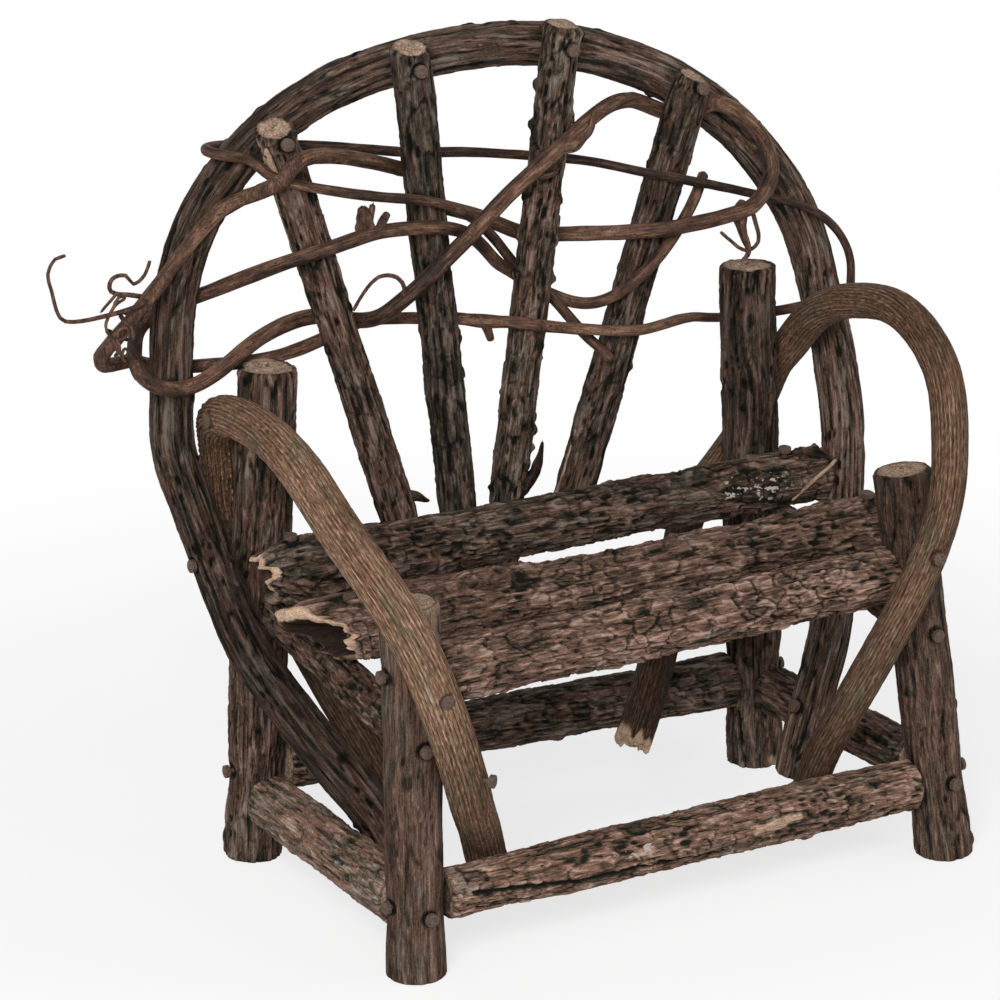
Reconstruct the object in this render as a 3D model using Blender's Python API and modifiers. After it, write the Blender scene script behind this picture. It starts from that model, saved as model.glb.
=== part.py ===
"""Rustic twig bench with a bent-branch back and wild vines woven through its fan of spindles.

Round sticks with the bark left on are nailed together: four posts, stretchers, three seat logs on
two bearers, one long branch bent to an arch, four spindles, two hooped arms and three vines.
Metres, +Z up. The front faces -Y, and the origin is on the floor under the middle of the bench.
"""
import math

import bmesh
import bpy
from mathutils import Vector

OBJECT_NAME = "vine_bench"
CLEARANCE = 0.0003

# Posts: spans between their axes at the floor, and their sizes
FRONT_SPAN = 0.2000
BACK_SPAN = 0.1942
FRAME_DEPTH = 0.1070
FRONT_POST_HEIGHT = 0.1305
BACK_POST_HEIGHT = 0.1775
FRONT_POST_RADIUS = 0.0095
BACK_POST_RADIUS = 0.0096

# Stretchers near the floor, butted between the posts
STRETCHER_HEIGHT = 0.0280
FRONT_STRETCHER_RADIUS = 0.0086
BACK_STRETCHER_RADIUS = 0.0092
SIDE_STRETCHER_RADIUS = 0.0086

# Seat: bearers between the posts, and logs laid across them
BEARER_HEIGHT = 0.0870
BEARER_RISE = 0.0110
RIGHT_BEARER_LIFT = 0.0038
BEARER_RADIUS = 0.0066
SEAT_LOG_RADIUS = 0.0098
FRONT_LOG_RISE = 0.0140
MIDDLE_LOG_SETBACK = 0.0405
BACK_LOG_INSET = 0.0210
MIDDLE_LOG_OVERHANG = (0.0085, 0.0070)
BACK_LOG_OVERHANG = (0.0070, 0.0146)
MIDDLE_LOG_FLARE = (0.0010, 0.0022)
BACK_LOG_FLARE = (0.0020, 0.0002)

# Slant of the logs' broken left ends, and the long ridges of their bark
BREAK_SLANT = 0.65
RIDGE_DEPTH = 0.0010
RIDGE_COUNT = 5
RIDGE_SWING = 1.4
RIDGE_SWAY = 0.0530

# Back: a fan of spindles against the back log, and the arch behind them
SPINDLE_RADIUS = 0.0064
BACK_RAKE = 0.084
ARCH_RADIUS = 0.0067
ARCH_LEG_SWELL = 0.0008
ARCH_SPRING_HEIGHT = 0.1650
ARCH_RISE = 0.1000
ARCH_OVERHANG_LEFT = 0.0250
ARCH_OVERHANG_RIGHT = 0.0276
ARCH_FULLNESS_LEFT = 2.4
ARCH_FULLNESS_RIGHT = 1.88
ARCH_RIGHT_FORWARD = 0.0066

# Arms
LEFT_ARM_RADIUS = 0.0061
RIGHT_ARM_RADIUS = 0.0055

# Vines and the tendrils that grow from them
SWEEP_VINE_RADIUS = 0.0024
WRAP_VINE_RADIUS = 0.0024
TOP_VINE_RADIUS = 0.0017
TENDRIL_RADIUS = 0.0007
TENDRIL_SWELL = 1.3
COIL_TURNS = 2
COIL_SIDES = 6
WEAVE_SLACK = 0.0009

# Wire nails
NAIL_RADIUS = 0.0008
NAIL_HEAD_RADIUS = 0.0022
NAIL_HEAD_THICKNESS = 0.0009
NAIL_TIP = 0.0022
SHORT_NAIL_LENGTH = 0.0190
LONG_NAIL_LENGTH = 0.0270

# Meshing of round sticks
END_ROUNDING = 0.0008
STICK_STEP = 0.0400
SPINDLE_STEPS = 6
LOG_STEP = 0.0155
BEND_STEP = 0.0130
VINE_STEP = 0.0085
TENDRIL_STEP = 0.0032
MOST_TURN = math.radians(34)
STICK_DETAIL = 4
LOG_DETAIL = 6
VINE_DETAIL = 1
NAIL_SIDES = 8

BARK_BROWN = (0.085, 0.052, 0.040, 1.0)
ARM_OLIVE = (0.110, 0.075, 0.050, 1.0)
VINE_RED = (0.120, 0.062, 0.042, 1.0)
NAIL_GREY = (0.050, 0.045, 0.042, 1.0)

# Each post's foot is set a little off its corner, and it leans: (across, deep) at foot and top
POSTS = {
    "post_front_left": {"corner": (-1, -1), "foot": (0.0037, -0.0010), "lean": (-0.0035, -0.0018),
                        "extra": -0.0030},
    "post_front_right": {"corner": (1, -1), "foot": (0.0064, 0.0011), "lean": (-0.0137, 0.0121),
                         "extra": 0.0044},
    "post_back_left": {"corner": (-1, 1), "foot": (-0.0030, 0.0049), "lean": (0.0052, -0.0063),
                       "extra": -0.0044},
    "post_back_right": {"corner": (1, 1), "foot": (-0.0037, -0.0050), "lean": (-0.0034, 0.0060),
                        "extra": 0.0041},
}

# Each spindle's foot and top as shares of the half width there, how far the foot hangs below the
# back log's axis, how far the top stands above the arch's axis, its bow sideways, and its stoutness
SPINDLES = {
    "back_spindle_1": {"foot": -0.424, "top": -0.714, "hang": 0.0200, "reach": 0.0093, "bow": 0.0,
                       "stout": 1.03},
    "back_spindle_2": {"foot": -0.252, "top": -0.299, "hang": 0.0220, "reach": 0.0101, "bow": 0.0006,
                       "stout": 1.00},
    "back_spindle_3": {"foot": -0.111, "top": 0.184, "hang": 0.0240, "reach": 0.0102, "bow": -0.0020,
                       "stout": 0.98},
    "back_spindle_4": {"foot": 0.132, "top": 0.578, "hang": 0.0140, "reach": 0.0066, "bow": 0.0,
                       "stout": 1.06},
}
STOUTEST_SPINDLE = SPINDLE_RADIUS * max(spindle["stout"] for spindle in SPINDLES.values())

parts = bpy.data.collections.new(OBJECT_NAME)
cutters = bpy.data.collections.new(OBJECT_NAME + "_cutters")
materials = {}
sticks = {}


def clear_scene():
    for item in list(bpy.data.objects):
        bpy.data.objects.remove(item, do_unlink=True)
    bpy.context.scene.collection.children.link(parts)
    bpy.context.scene.collection.children.link(cutters)


def add_root():
    root = bpy.data.objects.new("bench_root", None)
    parts.objects.link(root)
    return root


def finish(name, colour, roughness=0.85, metallic=0.0):
    """A piece's own plain material."""
    material = bpy.data.materials.new(name)
    material.use_nodes = True
    shader = material.node_tree.nodes["Principled BSDF"]
    shader.inputs["Base Color"].default_value = colour
    shader.inputs["Roughness"].default_value = roughness
    shader.inputs["Metallic"].default_value = metallic
    return material


def lerp(start, end, share):
    return start + (end - start) * share


def curve_through(points, step):
    """Points about a step apart on a smooth curve through the given points."""
    ends = [points[0] * 2 - points[1]] + list(points) + [points[-1] * 2 - points[-2]]
    path = [points[0]]
    for before, start, end, after in zip(ends, ends[1:], ends[2:], ends[3:]):
        leave = (end - before) * ((end - start).length / (end - before).length)
        arrive = (after - start) * ((end - start).length / (after - start).length)
        count = max(1, round((end - start).length / step), math.ceil(leave.angle(arrive) / MOST_TURN))
        for index in range(1, count + 1):
            t = index / count
            path.append(start * (2 * t**3 - 3 * t**2 + 1) + leave * (t**3 - 2 * t**2 + t)
                        + end * (3 * t**2 - 2 * t**3) + arrive * (t**3 - t**2))
    return path


def radius_along(radii, share):
    """Radius at a share of a stick's length, from radii spaced evenly along it."""
    place = share * (len(radii) - 1)
    first = min(int(place), len(radii) - 2)
    return lerp(radii[first], radii[first + 1], place - first)


def tube_mesh(name, path, radii, detail):
    """A closed mesh tube along a path, with its ends a little rounded."""
    lengths = [0.0]
    for start, end in zip(path, path[1:]):
        lengths.append(lengths[-1] + (end - start).length)
    total = lengths[-1]
    rings = [(point, radius_along(radii, length / total)) for point, length in zip(path, lengths)]
    rounding = min(END_ROUNDING, radii[0] / 3, radii[-1] / 3)
    first, last = rings[0], rings[-1]
    inner_first = path[0] + (path[1] - path[0]).normalized() * rounding
    inner_last = path[-1] + (path[-2] - path[-1]).normalized() * rounding
    rings = [(first[0], first[1] - rounding), (inner_first, first[1])] + rings[1:-1]
    rings += [(inner_last, last[1]), (last[0], last[1] - rounding)]
    curve = bpy.data.curves.new(name, "CURVE")
    curve.dimensions = "3D"
    curve.bevel_depth = max(radii)
    curve.bevel_resolution = detail
    curve.use_fill_caps = True
    spline = curve.splines.new("POLY")
    spline.points.add(len(rings) - 1)
    for place, (point, radius) in zip(spline.points, rings):
        place.co = (*point, 1.0)
        place.radius = radius / max(radii)
    guide = bpy.data.objects.new(name + "_guide", curve)
    cutters.objects.link(guide)
    evaluated = guide.evaluated_get(bpy.context.evaluated_depsgraph_get())
    mesh = bpy.data.meshes.new_from_object(evaluated)
    bpy.data.objects.remove(guide, do_unlink=True)
    bpy.data.curves.remove(curve)
    weld(mesh)
    return mesh


def weld(mesh):
    shell = bmesh.new()
    shell.from_mesh(mesh)
    bmesh.ops.remove_doubles(shell, verts=shell.verts, dist=CLEARANCE / 30)
    bmesh.ops.recalc_face_normals(shell, faces=shell.faces)
    shell.to_mesh(mesh)
    shell.free()


def saw_flat(mesh, height):
    """Saw a standing stick off level at a height, and close the cut."""
    shell = bmesh.new()
    shell.from_mesh(mesh)
    everything = list(shell.verts) + list(shell.edges) + list(shell.faces)
    cut = bmesh.ops.bisect_plane(shell, geom=everything, dist=CLEARANCE / 100,
                                 plane_co=(0, 0, height), plane_no=(0, 0, 1), clear_inner=True)
    edges = [item for item in cut["geom_cut"] if isinstance(item, bmesh.types.BMEdge)]
    bmesh.ops.contextual_create(shell, geom=edges)
    bmesh.ops.recalc_face_normals(shell, faces=shell.faces)
    shell.to_mesh(mesh)
    shell.free()


def add_piece(name, mesh, colour, roughness=0.85, metallic=0.0):
    mesh.shade_smooth()
    mesh.set_sharp_from_angle(angle=math.radians(40))
    piece = bpy.data.objects.new(name, mesh)
    piece.parent = bench
    material = finish(name, colour, roughness, metallic)
    piece.data.materials.clear()
    piece.data.materials.append(material)
    parts.objects.link(piece)
    return piece


def add_stick(name, path, radii, colour, detail=STICK_DETAIL):
    """A stick of wood along a path, kept by name for what is set against it."""
    sticks[name] = (path, radii)
    return add_piece(name, tube_mesh(name, path, radii, detail), colour)


def straight(start, end, step=STICK_STEP):
    count = max(3, round((end - start).length / step))
    return [lerp(start, end, index / count) for index in range(count + 1)]


def post_radius(name):
    return FRONT_POST_RADIUS if POSTS[name]["corner"][1] < 0 else BACK_POST_RADIUS


def post_height(name):
    tall = FRONT_POST_HEIGHT if POSTS[name]["corner"][1] < 0 else BACK_POST_HEIGHT
    return tall + POSTS[name]["extra"]


def post_axis(name, height):
    """Point on a post's leaning axis."""
    side, end = POSTS[name]["corner"]
    span = FRONT_SPAN if end < 0 else BACK_SPAN
    foot = Vector((side * span / 2, end * FRAME_DEPTH / 2, 0)) + Vector((*POSTS[name]["foot"], 0))
    lean = Vector((*POSTS[name]["lean"], post_height(name)))
    return foot + lean * (height / post_height(name))


def beside(post, height, bearing, radius, slack=0.0):
    """Axis point of a stick that lies against a post, on its side at a bearing in plan."""
    away = post_radius(post) + radius + CLEARANCE + slack
    turn = math.radians(bearing)
    return post_axis(post, height) + Vector((math.cos(turn), math.sin(turn), 0)) * away


def along(name, share):
    """Axis point and radius at a share of a straight stick's length."""
    path, radii = sticks[name]
    return lerp(path[0], path[-1], share), radius_along(radii, share)


def against(name, share, turn, radius, slack=0.0):
    """Axis point of a stick against a level one: turn 0 is on its +Y or -X side, 90 on top."""
    point, own = along(name, share)
    run = (sticks[name][0][-1] - sticks[name][0][0]).normalized()
    side = Vector((-run.y, run.x, 0)).normalized()
    up = run.cross(side)
    away = own + radius + CLEARANCE + slack
    return point + (side * math.cos(math.radians(turn)) + up * math.sin(math.radians(turn))) * away


def add_posts():
    below = 0.004
    for name in POSTS:
        path = straight(post_axis(name, -below), post_axis(name, post_height(name)))
        radius = post_radius(name)
        sticks[name] = (path, [radius, radius])
        mesh = tube_mesh(name, path, [radius, radius], STICK_DETAIL + 2)
        saw_flat(mesh, 0.0)
        add_piece(name, mesh, BARK_BROWN)


def butt_distance(post, run, radius):
    """How far from a post's axis a square-cut end stops, so that it clears a leaning post."""
    lean = (post_axis(post, post_height(post)) - post_axis(post, 0.0)).normalized()
    return post_radius(post) + CLEARANCE + radius * abs(run.dot(lean))


def add_between(name, start_post, end_post, start_height, end_height, radii, step=STICK_STEP,
                detail=STICK_DETAIL):
    """A stick cut square and butted between two posts."""
    start = post_axis(start_post, start_height)
    end = post_axis(end_post, end_height)
    run = (end - start).normalized()
    start += run * butt_distance(start_post, run, radii[0])
    end -= run * butt_distance(end_post, run, radii[-1])
    add_stick(name, straight(start, end, step), radii, BARK_BROWN, detail)


def add_stretchers():
    low = STRETCHER_HEIGHT
    front = FRONT_STRETCHER_RADIUS
    back = BACK_STRETCHER_RADIUS
    side = SIDE_STRETCHER_RADIUS
    add_between("stretcher_front", "post_front_left", "post_front_right", low - 0.0025, low - 0.0018,
                [front - 0.0006, front + 0.0006, front])
    add_between("stretcher_back", "post_back_left", "post_back_right", low + 0.0036, low + 0.0036,
                [back, back])
    add_between("stretcher_left", "post_front_left", "post_back_left", low - 0.0052, low - 0.0052,
                [side + 0.0006, side + 0.0008, side])
    add_between("stretcher_right", "post_front_right", "post_back_right", low + 0.002, low + 0.0015,
                [side - 0.0004, side - 0.0002])


def add_seat():
    low = BEARER_HEIGHT - BEARER_RISE / 2
    high = BEARER_HEIGHT + BEARER_RISE / 2
    radii = [BEARER_RADIUS, BEARER_RADIUS]
    add_between("seat_bearer_left", "post_front_left", "post_back_left", low, high, radii)
    add_between("seat_bearer_right", "post_front_right", "post_back_right", low,
                high + RIGHT_BEARER_LIFT, radii)
    thick = SEAT_LOG_RADIUS
    front_height = BEARER_HEIGHT + FRONT_LOG_RISE
    add_between("seat_log_front", "post_front_left", "post_front_right", front_height + 0.0005,
                front_height - 0.0005, [thick, thick + 0.0003, thick - 0.0002], LOG_STEP, LOG_DETAIL)
    middle_depth = MIDDLE_LOG_SETBACK - FRAME_DEPTH / 2
    back_depth = FRAME_DEPTH / 2 - BACK_LOG_INSET
    for name, depth, overhang, flare in (
            ("seat_log_middle", middle_depth, MIDDLE_LOG_OVERHANG, MIDDLE_LOG_FLARE),
            ("seat_log_back", back_depth, BACK_LOG_OVERHANG, BACK_LOG_FLARE)):
        left = on_bearer("seat_bearer_left", depth, thick + flare[0])
        right = on_bearer("seat_bearer_right", depth, thick + flare[1])
        run = (right - left).normalized()
        path = straight(left - run * overhang[0], right + run * overhang[1], LOG_STEP)
        radii = [thick + flare[0], thick, thick, thick, thick + flare[1]]
        add_stick(name, path, radii, BARK_BROWN, LOG_DETAIL)
    for name in ("seat_log_front", "seat_log_middle", "seat_log_back"):
        ridge_bark(name)
    for name in ("seat_log_middle", "seat_log_back"):
        break_end(name)


def break_end(name):
    """Slant the left end of a log, as it broke off, longest at its upper front."""
    path, _ = sticks[name]
    run = (path[-1] - path[0]).normalized()
    longest = Vector((0, -1, 1)).normalized()
    for vertex in bpy.data.objects[name].data.vertices:
        out = vertex.co - path[0]
        if out.dot(run) < 2 * END_ROUNDING:
            vertex.co -= run * BREAK_SLANT * out.dot(longest)


def ridge_bark(name):
    """Sink furrows between the long ridges of a log's bark. The ridges keep the log's full radius."""
    path, _ = sticks[name]
    run = (path[-1] - path[0]).normalized()
    side = run.cross(Vector((0, 0, 1))).normalized()
    for vertex in bpy.data.objects[name].data.vertices:
        length = (vertex.co - path[0]).dot(run)
        out = vertex.co - path[0] - run * length
        angle = math.atan2(out.dot(run.cross(side)), out.dot(side))
        sway = math.sin(math.tau * length / RIDGE_SWAY)
        ridge = math.cos(RIDGE_COUNT * angle + RIDGE_SWING * sway)
        depth = RIDGE_DEPTH * (1 - ridge) / 2
        if out.length > depth:
            vertex.co -= out.normalized() * depth


def on_bearer(bearer, depth, radius):
    """Axis point of a log that lies across a bearer at a depth."""
    path, _ = sticks[bearer]
    share = (depth - path[0].y) / (path[-1].y - path[0].y)
    point = lerp(path[0], path[-1], share)
    slope = (path[-1].z - path[0].z) / (path[-1].y - path[0].y)
    return point + Vector((0, 0, (BEARER_RADIUS + radius + CLEARANCE) * math.hypot(1, slope)))


def spindle_depth(height):
    """Depth of the raked plane that the spindles' axes lie in, at a height."""
    log, radius = along("seat_log_back", 0.5)
    return log.y + radius + STOUTEST_SPINDLE + CLEARANCE + BACK_RAKE * (height - log.z)


def arch_depth(height):
    return spindle_depth(height) + STOUTEST_SPINDLE + ARCH_RADIUS + CLEARANCE


def arch_side(across_share):
    """Half width and fullness of the arch on the side that a share of its width lies."""
    if across_share < 0:
        return BACK_SPAN / 2 + ARCH_OVERHANG_LEFT, ARCH_FULLNESS_LEFT
    return BACK_SPAN / 2 + ARCH_OVERHANG_RIGHT, ARCH_FULLNESS_RIGHT


def spindle_ends(name):
    """Foot and top of a spindle's axis: from below the back log to above the arch."""
    spindle = SPINDLES[name]
    foot_height = along("seat_log_back", 0.5)[0].z - spindle["hang"]
    half, fullness = arch_side(spindle["top"])
    bow = (1 - abs(spindle["top"]) ** fullness) ** (1 / fullness)
    top_height = ARCH_SPRING_HEIGHT + ARCH_RISE * bow + spindle["reach"]
    foot = Vector((spindle["foot"] * BACK_SPAN / 2, spindle_depth(foot_height), foot_height))
    top = Vector((spindle["top"] * half, spindle_depth(top_height), top_height))
    return foot, top


def spindle_at(name, share):
    """Axis point at a share of a spindle's height, with its sideways bow."""
    foot, top = spindle_ends(name)
    bow = SPINDLES[name]["bow"] * math.sin(math.pi * min(max(share, 0.0), 1.0))
    return lerp(foot, top, share) + Vector((bow, 0, 0))


def add_spindles():
    for name, spindle in SPINDLES.items():
        thin = SPINDLE_RADIUS * spindle["stout"]
        path = [spindle_at(name, index / SPINDLE_STEPS) for index in range(SPINDLE_STEPS + 1)]
        add_stick(name, path, [thin - 0.0002, thin], BARK_BROWN)


def arch_bow():
    """The rounded top of the arch, from its left spring to its right one."""
    turns = 12
    ease = 0.7
    points = []
    for index in range(turns + 1):
        angle = math.pi * index / turns
        left = index < turns / 2
        half, fullness = arch_side(-1 if left else 1)
        power = 2 / fullness
        across = abs(math.cos(angle)) ** power * half
        height = ARCH_SPRING_HEIGHT + abs(math.sin(angle)) ** power * ARCH_RISE
        forward = ARCH_RIGHT_FORWARD * max(0.0, (index / turns - ease) / (1 - ease)) ** 2
        points.append(Vector((-across if left else across, arch_depth(height) - forward, height)))
    return points


def add_arch():
    left_spring = arch_bow()[0]
    right_spring = arch_bow()[-1]
    size = ARCH_RADIUS
    left_post = "post_back_left"
    stout = size + ARCH_LEG_SWELL
    touch = beside(left_post, BEARER_HEIGHT + 0.0230, 180, stout, 0.0010)
    inner_left = against("stretcher_left", 0.455, 153, stout, 0.0003)
    inner_right = against("stretcher_right", 0.50, 20, size, 0.0003)
    log_end = sticks["seat_log_back"][0][-1] + Vector((size + 0.0040, 0.0006, 0))
    left_leg = [
        inner_left + Vector((0.0062, 0.001, -0.0145)),
        inner_left,
        inner_left + Vector((-0.0100, 0.0020, 0.0135)),
        inner_left + Vector((-0.0185, 0.0170, 0.0290)),
        touch + Vector((0.0026, -0.0240, -0.0270)),
        touch + Vector((0.0008, -0.0110, -0.0120)),
        touch,
        lerp(touch, left_spring, 0.36) + Vector((-0.0026, 0.0006, 0)),
        lerp(touch, left_spring, 0.65) + Vector((-0.0034, 0.0030, 0)),
    ]
    right_leg = [
        right_spring + Vector((-0.0010, -0.0115, -0.0180)),
        log_end + Vector((0.0020, 0.0040, 0.0110)),
        log_end + Vector((-0.0046, -0.0058, -0.0145)),
        lerp(log_end, inner_right, 0.45) + Vector((0.0040, 0, 0)),
        lerp(log_end, inner_right, 0.70) + Vector((0.0035, -0.001, 0)),
        inner_right,
        inner_right + Vector((-0.0045, 0, -0.0200)),
    ]
    path = curve_through(left_leg + arch_bow() + right_leg, BEND_STEP)
    add_stick("back_arch", path, [stout, size, size, size + 0.0002, size, size], BARK_BROWN,
              STICK_DETAIL - 1)


def arm_hoop(front, back, points):
    """Points of an arm's hoop, each set outboard of a line between two post axes."""
    side = POSTS[front]["corner"][0]
    hoop = []
    for outboard, share, height in points:
        line = lerp(post_axis(front, height), post_axis(back, height), share)
        hoop.append(line + Vector((side * outboard, 0, 0)))
    return hoop


def arm_tail(post, points):
    """Points of an arm's tail, each set inboard and forward of a back post's axis."""
    side = POSTS[post]["corner"][0]
    return [post_axis(post, height) + Vector((-side * inboard, -forward, 0))
            for inboard, forward, height in points]


def add_left_arm():
    size = LEFT_ARM_RADIUS
    front, back = "post_front_left", "post_back_left"
    path = [
        against("stretcher_front", 0.146, -25, size, 0.0030),
        against("stretcher_front", 0.130, 12, size, 0.0002),
        against("stretcher_front", 0.107, 52, size, 0.0024),
        beside(front, BEARER_HEIGHT - 0.0270, -33, size, 0.0024),
        beside(front, BEARER_HEIGHT - 0.0070, -62, size, 0.0006),
        beside(front, BEARER_HEIGHT + 0.0165, -90, size),
        beside(front, BEARER_HEIGHT + 0.0420, -126, size, 0.0016),
    ]
    path += arm_hoop(front, back, [(0.0160, 0.10, 0.1470), (0.0160, 0.41, 0.1590),
                                   (0.0150, 0.66, 0.1625)])
    path += [
        beside(back, 0.1605, 205, size, 0.0006),
        beside(back, 0.1575, 168, size, 0.0006),
        beside(back, 0.1510, 132, size, 0.0008),
        beside(back, 0.1360, 112, size, 0.0032),
        beside(back, 0.1200, 106, size, 0.0032),
        beside(back, 0.1030, 78, size, 0.0040),
        beside(back, 0.0860, 40, size, 0.0016),
    ]
    path += arm_tail(back, [(0.0190, 0.0070, 0.0665), (0.0290, 0.0230, 0.0430),
                            (0.0380, 0.0320, 0.0220)])
    add_stick("arm_left", curve_through(path, BEND_STEP), [size, size, size - 0.0002], ARM_OLIVE,
              STICK_DETAIL - 1)


def add_right_arm():
    size = RIGHT_ARM_RADIUS
    front, back = "post_front_right", "post_back_right"
    path = [
        against("stretcher_front", 0.817, -28, size, 0.0030),
        against("stretcher_front", 0.831, 8, size, 0.0002),
        against("stretcher_front", 0.847, 46, size, 0.0026),
        beside(front, BEARER_HEIGHT - 0.0275, 185, size, 0.0165),
        beside(front, BEARER_HEIGHT - 0.0100, 203, size, 0.0102),
        beside(front, BEARER_HEIGHT + 0.0087, 230, size, 0.0060),
        beside(front, BEARER_HEIGHT + 0.0240, 262, size, 0.0004),
        beside(front, BEARER_HEIGHT + 0.0430, 288, size, 0.0030),
    ]
    path += arm_hoop(front, back, [(0.0112, -0.16, 0.1510), (0.0156, -0.08, 0.1700),
                                   (0.0176, 0.18, 0.1816), (0.0172, 0.45, 0.1792),
                                   (0.0172, 0.65, 0.1742), (0.0172, 0.83, 0.1653)])
    path += [
        beside(back, 0.1550, -12, size, 0.0030),
        beside(back, 0.1430, 18, size, 0.0004),
        beside(back, 0.1270, 48, size, 0.0020),
        beside(back, 0.1110, 72, size, 0.0045),
    ]
    path += arm_tail(back, [(0.0165, -0.0145, 0.0920), (0.0300, -0.0010, 0.0720),
                            (0.0440, 0.0110, 0.0525), (0.0640, 0.0250, 0.0270)])
    add_stick("arm_right", curve_through(path, BEND_STEP), [size, size, size + 0.0004], ARM_OLIVE,
              STICK_DETAIL - 1)


def level_height(level):
    """Height of a vine, as a share of the arch's rise above its springs."""
    return ARCH_SPRING_HEIGHT + ARCH_RISE * level


def arch_point(side, height):
    """Axis point of the arch's left (-1) or right (1) limb at a height."""
    path, _ = sticks["back_arch"]
    limb = [point for point in path if point.x * side > 0]
    for start, end in zip(limb, limb[1:]):
        if min(start.z, end.z) <= height <= max(start.z, end.z) and start.z != end.z:
            return lerp(start, end, (height - start.z) / (end.z - start.z))
    return min(limb, key=lambda point: abs(point.z - height))


def spindle_point(number, height):
    name = "back_spindle_%d" % number
    foot, top = spindle_ends(name)
    return spindle_at(name, (height - foot.z) / (top.z - foot.z))


def upright_point(number, height):
    """Upright 0 is the arch's left limb, 1 to 4 are spindles and 5 is the arch's right limb."""
    if number in (0, 5):
        limb = arch_point(-1 if number == 0 else 1, height)
        return Vector((limb.x, spindle_depth(height), height))
    return spindle_point(number, height)


class Weave:
    """Collects the points of one vine as it goes over, under and between the uprights."""

    def __init__(self, radius):
        self.radius = radius
        self.points = []

    def over(self, number, level, slack=0.0):
        return self.cross(number, level, -1, slack)

    def under(self, number, level, slack=0.0):
        return self.cross(number, level, 1, slack)

    def cross(self, number, level, side, slack):
        height = level_height(level)
        if number in (0, 5):
            point = arch_point(-1 if number == 0 else 1, height)
            point = Vector((point.x, point.y, height))
            own = ARCH_RADIUS + 0.0002
        else:
            point = spindle_point(number, height)
            own = SPINDLE_RADIUS * SPINDLES["back_spindle_%d" % number]["stout"]
        point.y += side * (own + self.radius + WEAVE_SLACK + slack)
        self.points.append(point)
        return self

    def between(self, first, second, share, level, depth):
        height = level_height(level)
        point = lerp(upright_point(first, height), upright_point(second, height), share)
        self.points.append(point + Vector((0, depth, 0)))
        return self

    def outside(self, side, offset, level, depth):
        height = level_height(level)
        limb = arch_point(side, height)
        self.points.append(Vector((limb.x + side * offset, spindle_depth(height) + depth, height)))
        return self

    def path(self):
        return curve_through(self.points, VINE_STEP)


def grow_tendril(vine, name, points):
    """Join a thin tendril or a stub to a vine. Its first point lies inside the vine."""
    thick = TENDRIL_RADIUS if len(points) > 3 else TENDRIL_RADIUS * 2.2
    radii = [thick * TENDRIL_SWELL, thick, thick * 0.8]
    path = curve_through(points, TENDRIL_STEP)
    shoot = bpy.data.objects.new(name, tube_mesh(name, path, radii, VINE_DETAIL))
    shoot.parent = bench
    shoot.hide_render = True
    shoot.display_type = "WIRE"
    cutters.objects.link(shoot)
    joint = vine.modifiers.new(name, "BOOLEAN")
    joint.operation = "UNION"
    joint.object = shoot


def coil_along(vine, near, far):
    """A tendril's points, wound round a vine between two places on its path."""
    path = [point for point, _ in dense(vine)]
    first = min(range(len(path)), key=lambda index: (path[index] - near).length)
    last = min(range(len(path)), key=lambda index: (path[index] - far).length)
    run = (path[last] - path[first]).normalized()
    out = run.cross(Vector((0, 1, 0))).normalized()
    away = max(sticks[vine][1]) + TENDRIL_RADIUS + 2 * CLEARANCE
    points = [path[first].copy()]
    for index in range(COIL_TURNS * COIL_SIDES + 1):
        centre = path[round(lerp(first, last, index / (COIL_TURNS * COIL_SIDES)))]
        angle = math.tau * index / COIL_SIDES
        points.append(centre + (out * math.cos(angle) + out.cross(run) * math.sin(angle)) * away)
    return points


def least_gap(points, sides):
    """Least gap of a wound tendril to itself, measured between points half a turn or more apart."""
    path = curve_through(points, TENDRIL_STEP / 4)
    lengths = [0.0]
    for start, end in zip(path, path[1:]):
        lengths.append(lengths[-1] + (end - start).length)
    half_turn = sum((end - start).length for start, end in zip(points[1:], points[2:sides // 2 + 2]))
    gaps = [(path[first] - path[second]).length
            for first in range(len(path)) for second in range(first)
            if lengths[first] - lengths[second] > half_turn]
    return min(gaps) - 2 * TENDRIL_RADIUS * TENDRIL_SWELL


def shoot_from(vine, level, across, steps):
    """A tendril's points: from a vine's axis near a place, then by steps from point to point."""
    path, _ = sticks[vine]
    height = level_height(level)
    start = min(path, key=lambda point: abs(point.x - across) + abs(point.z - height))
    points = [start.copy()]
    for step in steps:
        points.append(points[-1] + Vector(step))
    return points


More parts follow.
